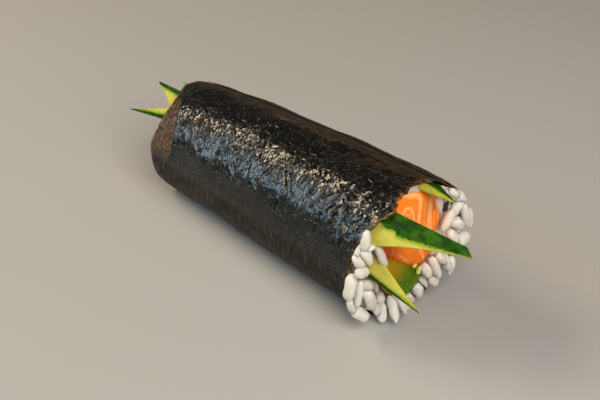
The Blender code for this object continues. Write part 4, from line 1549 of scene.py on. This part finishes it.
def below_rind(name, ring, mark):
    """How far below the rind a place on a stick's outline lies, in mm, and less than 0 in it."""
    first, second = (ring[1] - ring[0]).length, (ring[2] - ring[1]).length
    if name == "cucumber_sliver":
        return 0.6 + first * (1 - mark) if mark <= 1 else 0.6 - 1.1 * (mark - 1) * (3 - mark)
    share = float(np.interp(ring[0].x, *zip(*RIND_REACH[name]))) if ring[0].x > 0 else 1.0
    if mark <= 1:
        return first * mark - first * share
    if mark <= 2:
        return first * (1 - share) + second * (mark - 1)
    return min(0.15 + 2.0 * (6 - mark), first * (1 - share) + second + 2.0 * (mark - 2))


def stick_mesh(name, ends):
    """A stick of cucumber with soft edges: points, faces and each point's way below the rind."""
    rings = stick_rings(ends, STICK_FINE_STATIONS)
    points, below = [], []
    for ring in rings:
        for point, mark in zip(*stick_outline(ring)):
            points.append(tuple(point))
            below.append(below_rind(name, ring, mark) - (FAR_RIND if point.x < 0 else 0.0))
    return np.array(points), closed_tube(len(rings), len(points) // len(rings)), below


class HANDROLL_OT_cucumber(bpy.types.Operator):
    """Lays the cucumber sticks and the sliver through the roll"""

    bl_idname = "handroll.cucumber"
    bl_label = "Cucumber"

    def execute(self, context):
        finish = cucumber_material(context.scene.hand_roll_cucumber)
        for name, ends in STICKS.items():
            points, faces, below = stick_mesh(name, ends)
            piece = new_piece(f"{name}_cut", points, faces, finish, "cucumber", [name])
            point_values(piece, below_rind=below)
        return {"FINISHED"}


# ---- crumbs


def crumbs_mesh(crumbs):
    """Small uneven flakes in one mesh, with the value that goes with each point."""
    template, template_faces = grain_template(CRUMB_SIDES, CRUMB_RINGS)
    points = []
    for number, crumb in enumerate(crumbs):
        shape = template * (np.array((crumb.long, crumb.wide, crumb.thick)) / 2)
        ragged = noise_at(shape, CRUMB_RAG_SIZE, (3.0, 5.0, 11.0 * number))
        shape = shape * (1 + CRUMB_RAGGEDNESS * ragged[:, None])
        heading = Matrix.Rotation(math.radians(crumb.heading), 3, "X")
        turn = heading @ Matrix.Rotation(math.pi / 2, 3, "Z")
        points.append(shape @ np.array(turn).T + np.array(crumb.place))
    values = np.repeat([crumb.value for crumb in crumbs], len(template))
    faces = repeated(template_faces, len(crumbs), len(template))
    return np.concatenate(points), faces, values


class HANDROLL_OT_crumbs(bpy.types.Operator):
    """Scatters the few flakes of nori and crumbs on the open end and on the far rim"""

    bl_idname = "handroll.crumbs"
    bl_label = "Crumbs"

    def execute(self, context):
        for slot, name, crumbs, reads in (
            ("nori", "nori_flakes", FLAKES, "thin"),
            ("avocado", "avocado_crumbs", AVOCADO_CRUMBS, "green"),
            ("cucumber", "cucumber_crumb", CUCUMBER_CRUMBS, "below_rind"),
        ):
            finish = bpy.data.materials.get(slot)
            if finish is None:
                raise RuntimeError(f"build the {slot} first: its crumbs share its material")
            points, faces, values = crumbs_mesh(crumbs)
            piece = new_piece(name, points, faces, finish, slot)
            point_values(piece, **{reads: values})
            lay_flat(piece, points[:, 1], points[:, 2])
        return {"FINISHED"}


# ---- stage


def aim(thing, place, target):
    thing.location = place
    thing.rotation_mode = "QUATERNION"
    thing.rotation_quaternion = (Vector(target) - Vector(place)).to_track_quat("-Z", "Y")


def add_light(name, power, direction, distance, width, height, colour):
    light = bpy.data.lights.new(name, "AREA")
    light.shape = "RECTANGLE"
    light.size, light.size_y = width, height
    light.energy = power
    light.color = colour
    thing = bpy.data.objects.new(name, light)
    bpy.context.scene.collection.objects.link(thing)
    target = Vector(LIT_POINT)
    aim(thing, target + Vector(direction).normalized() * distance, target)


def floor_material(settings):
    made, nodes = new_material("floor")
    cloud = nodes.noise(nodes.places(), 0.004, detail=2.0)
    darker = tuple(FLOOR_SHADE * part for part in settings.floor)
    nodes.shade(Base_Color=nodes.mix(cloud, settings.floor, darker), Roughness=0.75)
    return made


class HANDROLL_OT_stage(bpy.types.Operator):
    """Adds the pale floor, the soft lights and the camera"""

    bl_idname = "handroll.stage"
    bl_label = "Stage"

    def execute(self, context):
        scene = context.scene
        settings = scene.hand_roll_stage
        mesh = bpy.data.meshes.new("floor")
        corners = ((-1, -1), (1, -1), (1, 1), (-1, 1))
        corners = [(a * FLOOR_HALF_SIDE, b * FLOOR_HALF_SIDE, 0) for a, b in corners]
        mesh.from_pydata(corners, [], [(0, 1, 2, 3)])
        mesh.materials.append(floor_material(settings))
        floor = bpy.data.objects.new("floor", mesh)
        scene.collection.objects.link(floor)
        for name, setting, *form in LIGHTS:
            add_light(name, getattr(settings, setting), *form)
        world = bpy.data.worlds.new("studio")
        world.use_nodes = True
        background = world.node_tree.nodes["Background"].inputs
        background["Color"].default_value = AMBIENT_COLOUR
        background["Strength"].default_value = settings.ambient
        scene.world = world
        camera = bpy.data.cameras.new("camera")
        camera.sensor_width = CAMERA_SENSOR
        camera.lens = CAMERA_LENS
        camera.clip_start = CAMERA_CLIP
        viewer = bpy.data.objects.new("camera", camera)
        scene.collection.objects.link(viewer)
        aim(viewer, CAMERA_PLACE, CAMERA_TARGET)
        scene.camera = viewer
        scene.view_settings.view_transform = "Standard"
        return {"FINISHED"}


class HANDROLL_PT_panel(bpy.types.Panel):
    """Lists the pieces of the roll"""

    bl_idname = "HANDROLL_PT_panel"
    bl_label = "Hand Roll"
    bl_space_type = "VIEW_3D"
    bl_region_type = "UI"
    bl_category = "Hand Roll"

    def draw(self, context):
        for operator, group in STEPS:
            box = self.layout.box()
            box.operator(operator.bl_idname)
            if group is None:
                continue
            settings = getattr(context.scene, group)
            for name in settings.bl_rna.properties.keys():
                if name not in ("rna_type", "name"):
                    box.prop(settings, name)


SETTINGS = {
    "hand_roll_nori": NoriSettings,
    "hand_roll_rice": RiceSettings,
    "hand_roll_salmon": SalmonSettings,
    "hand_roll_avocado": AvocadoSettings,
    "hand_roll_cucumber": CucumberSettings,
    "hand_roll_stage": StageSettings,
}
STEPS = (
    (HANDROLL_OT_nori, "hand_roll_nori"),
    (HANDROLL_OT_rice, "hand_roll_rice"),
    (HANDROLL_OT_salmon, "hand_roll_salmon"),
    (HANDROLL_OT_avocado, "hand_roll_avocado"),
    (HANDROLL_OT_cucumber, "hand_roll_cucumber"),
    (HANDROLL_OT_crumbs, None),
    (HANDROLL_OT_stage, "hand_roll_stage"),
)


def register():
    for name, group in SETTINGS.items():
        bpy.utils.register_class(group)
        setattr(bpy.types.Scene, name, PointerProperty(type=group))
    for operator, _ in STEPS:
        bpy.utils.register_class(operator)
    bpy.utils.register_class(HANDROLL_PT_panel)


def unregister():
    bpy.utils.unregister_class(HANDROLL_PT_panel)
    for operator, _ in reversed(STEPS):
        bpy.utils.unregister_class(operator)
    for name, group in reversed(SETTINGS.items()):
        delattr(bpy.types.Scene, name)
        bpy.utils.unregister_class(group)


def main():
    register()
    bpy.ops.handroll.nori()
    bpy.ops.handroll.rice()
    bpy.ops.handroll.salmon()
    bpy.ops.handroll.avocado()
    bpy.ops.handroll.cucumber()
    bpy.ops.handroll.crumbs()
    bpy.ops.handroll.stage()


if __name__ == "__main__":
    main()
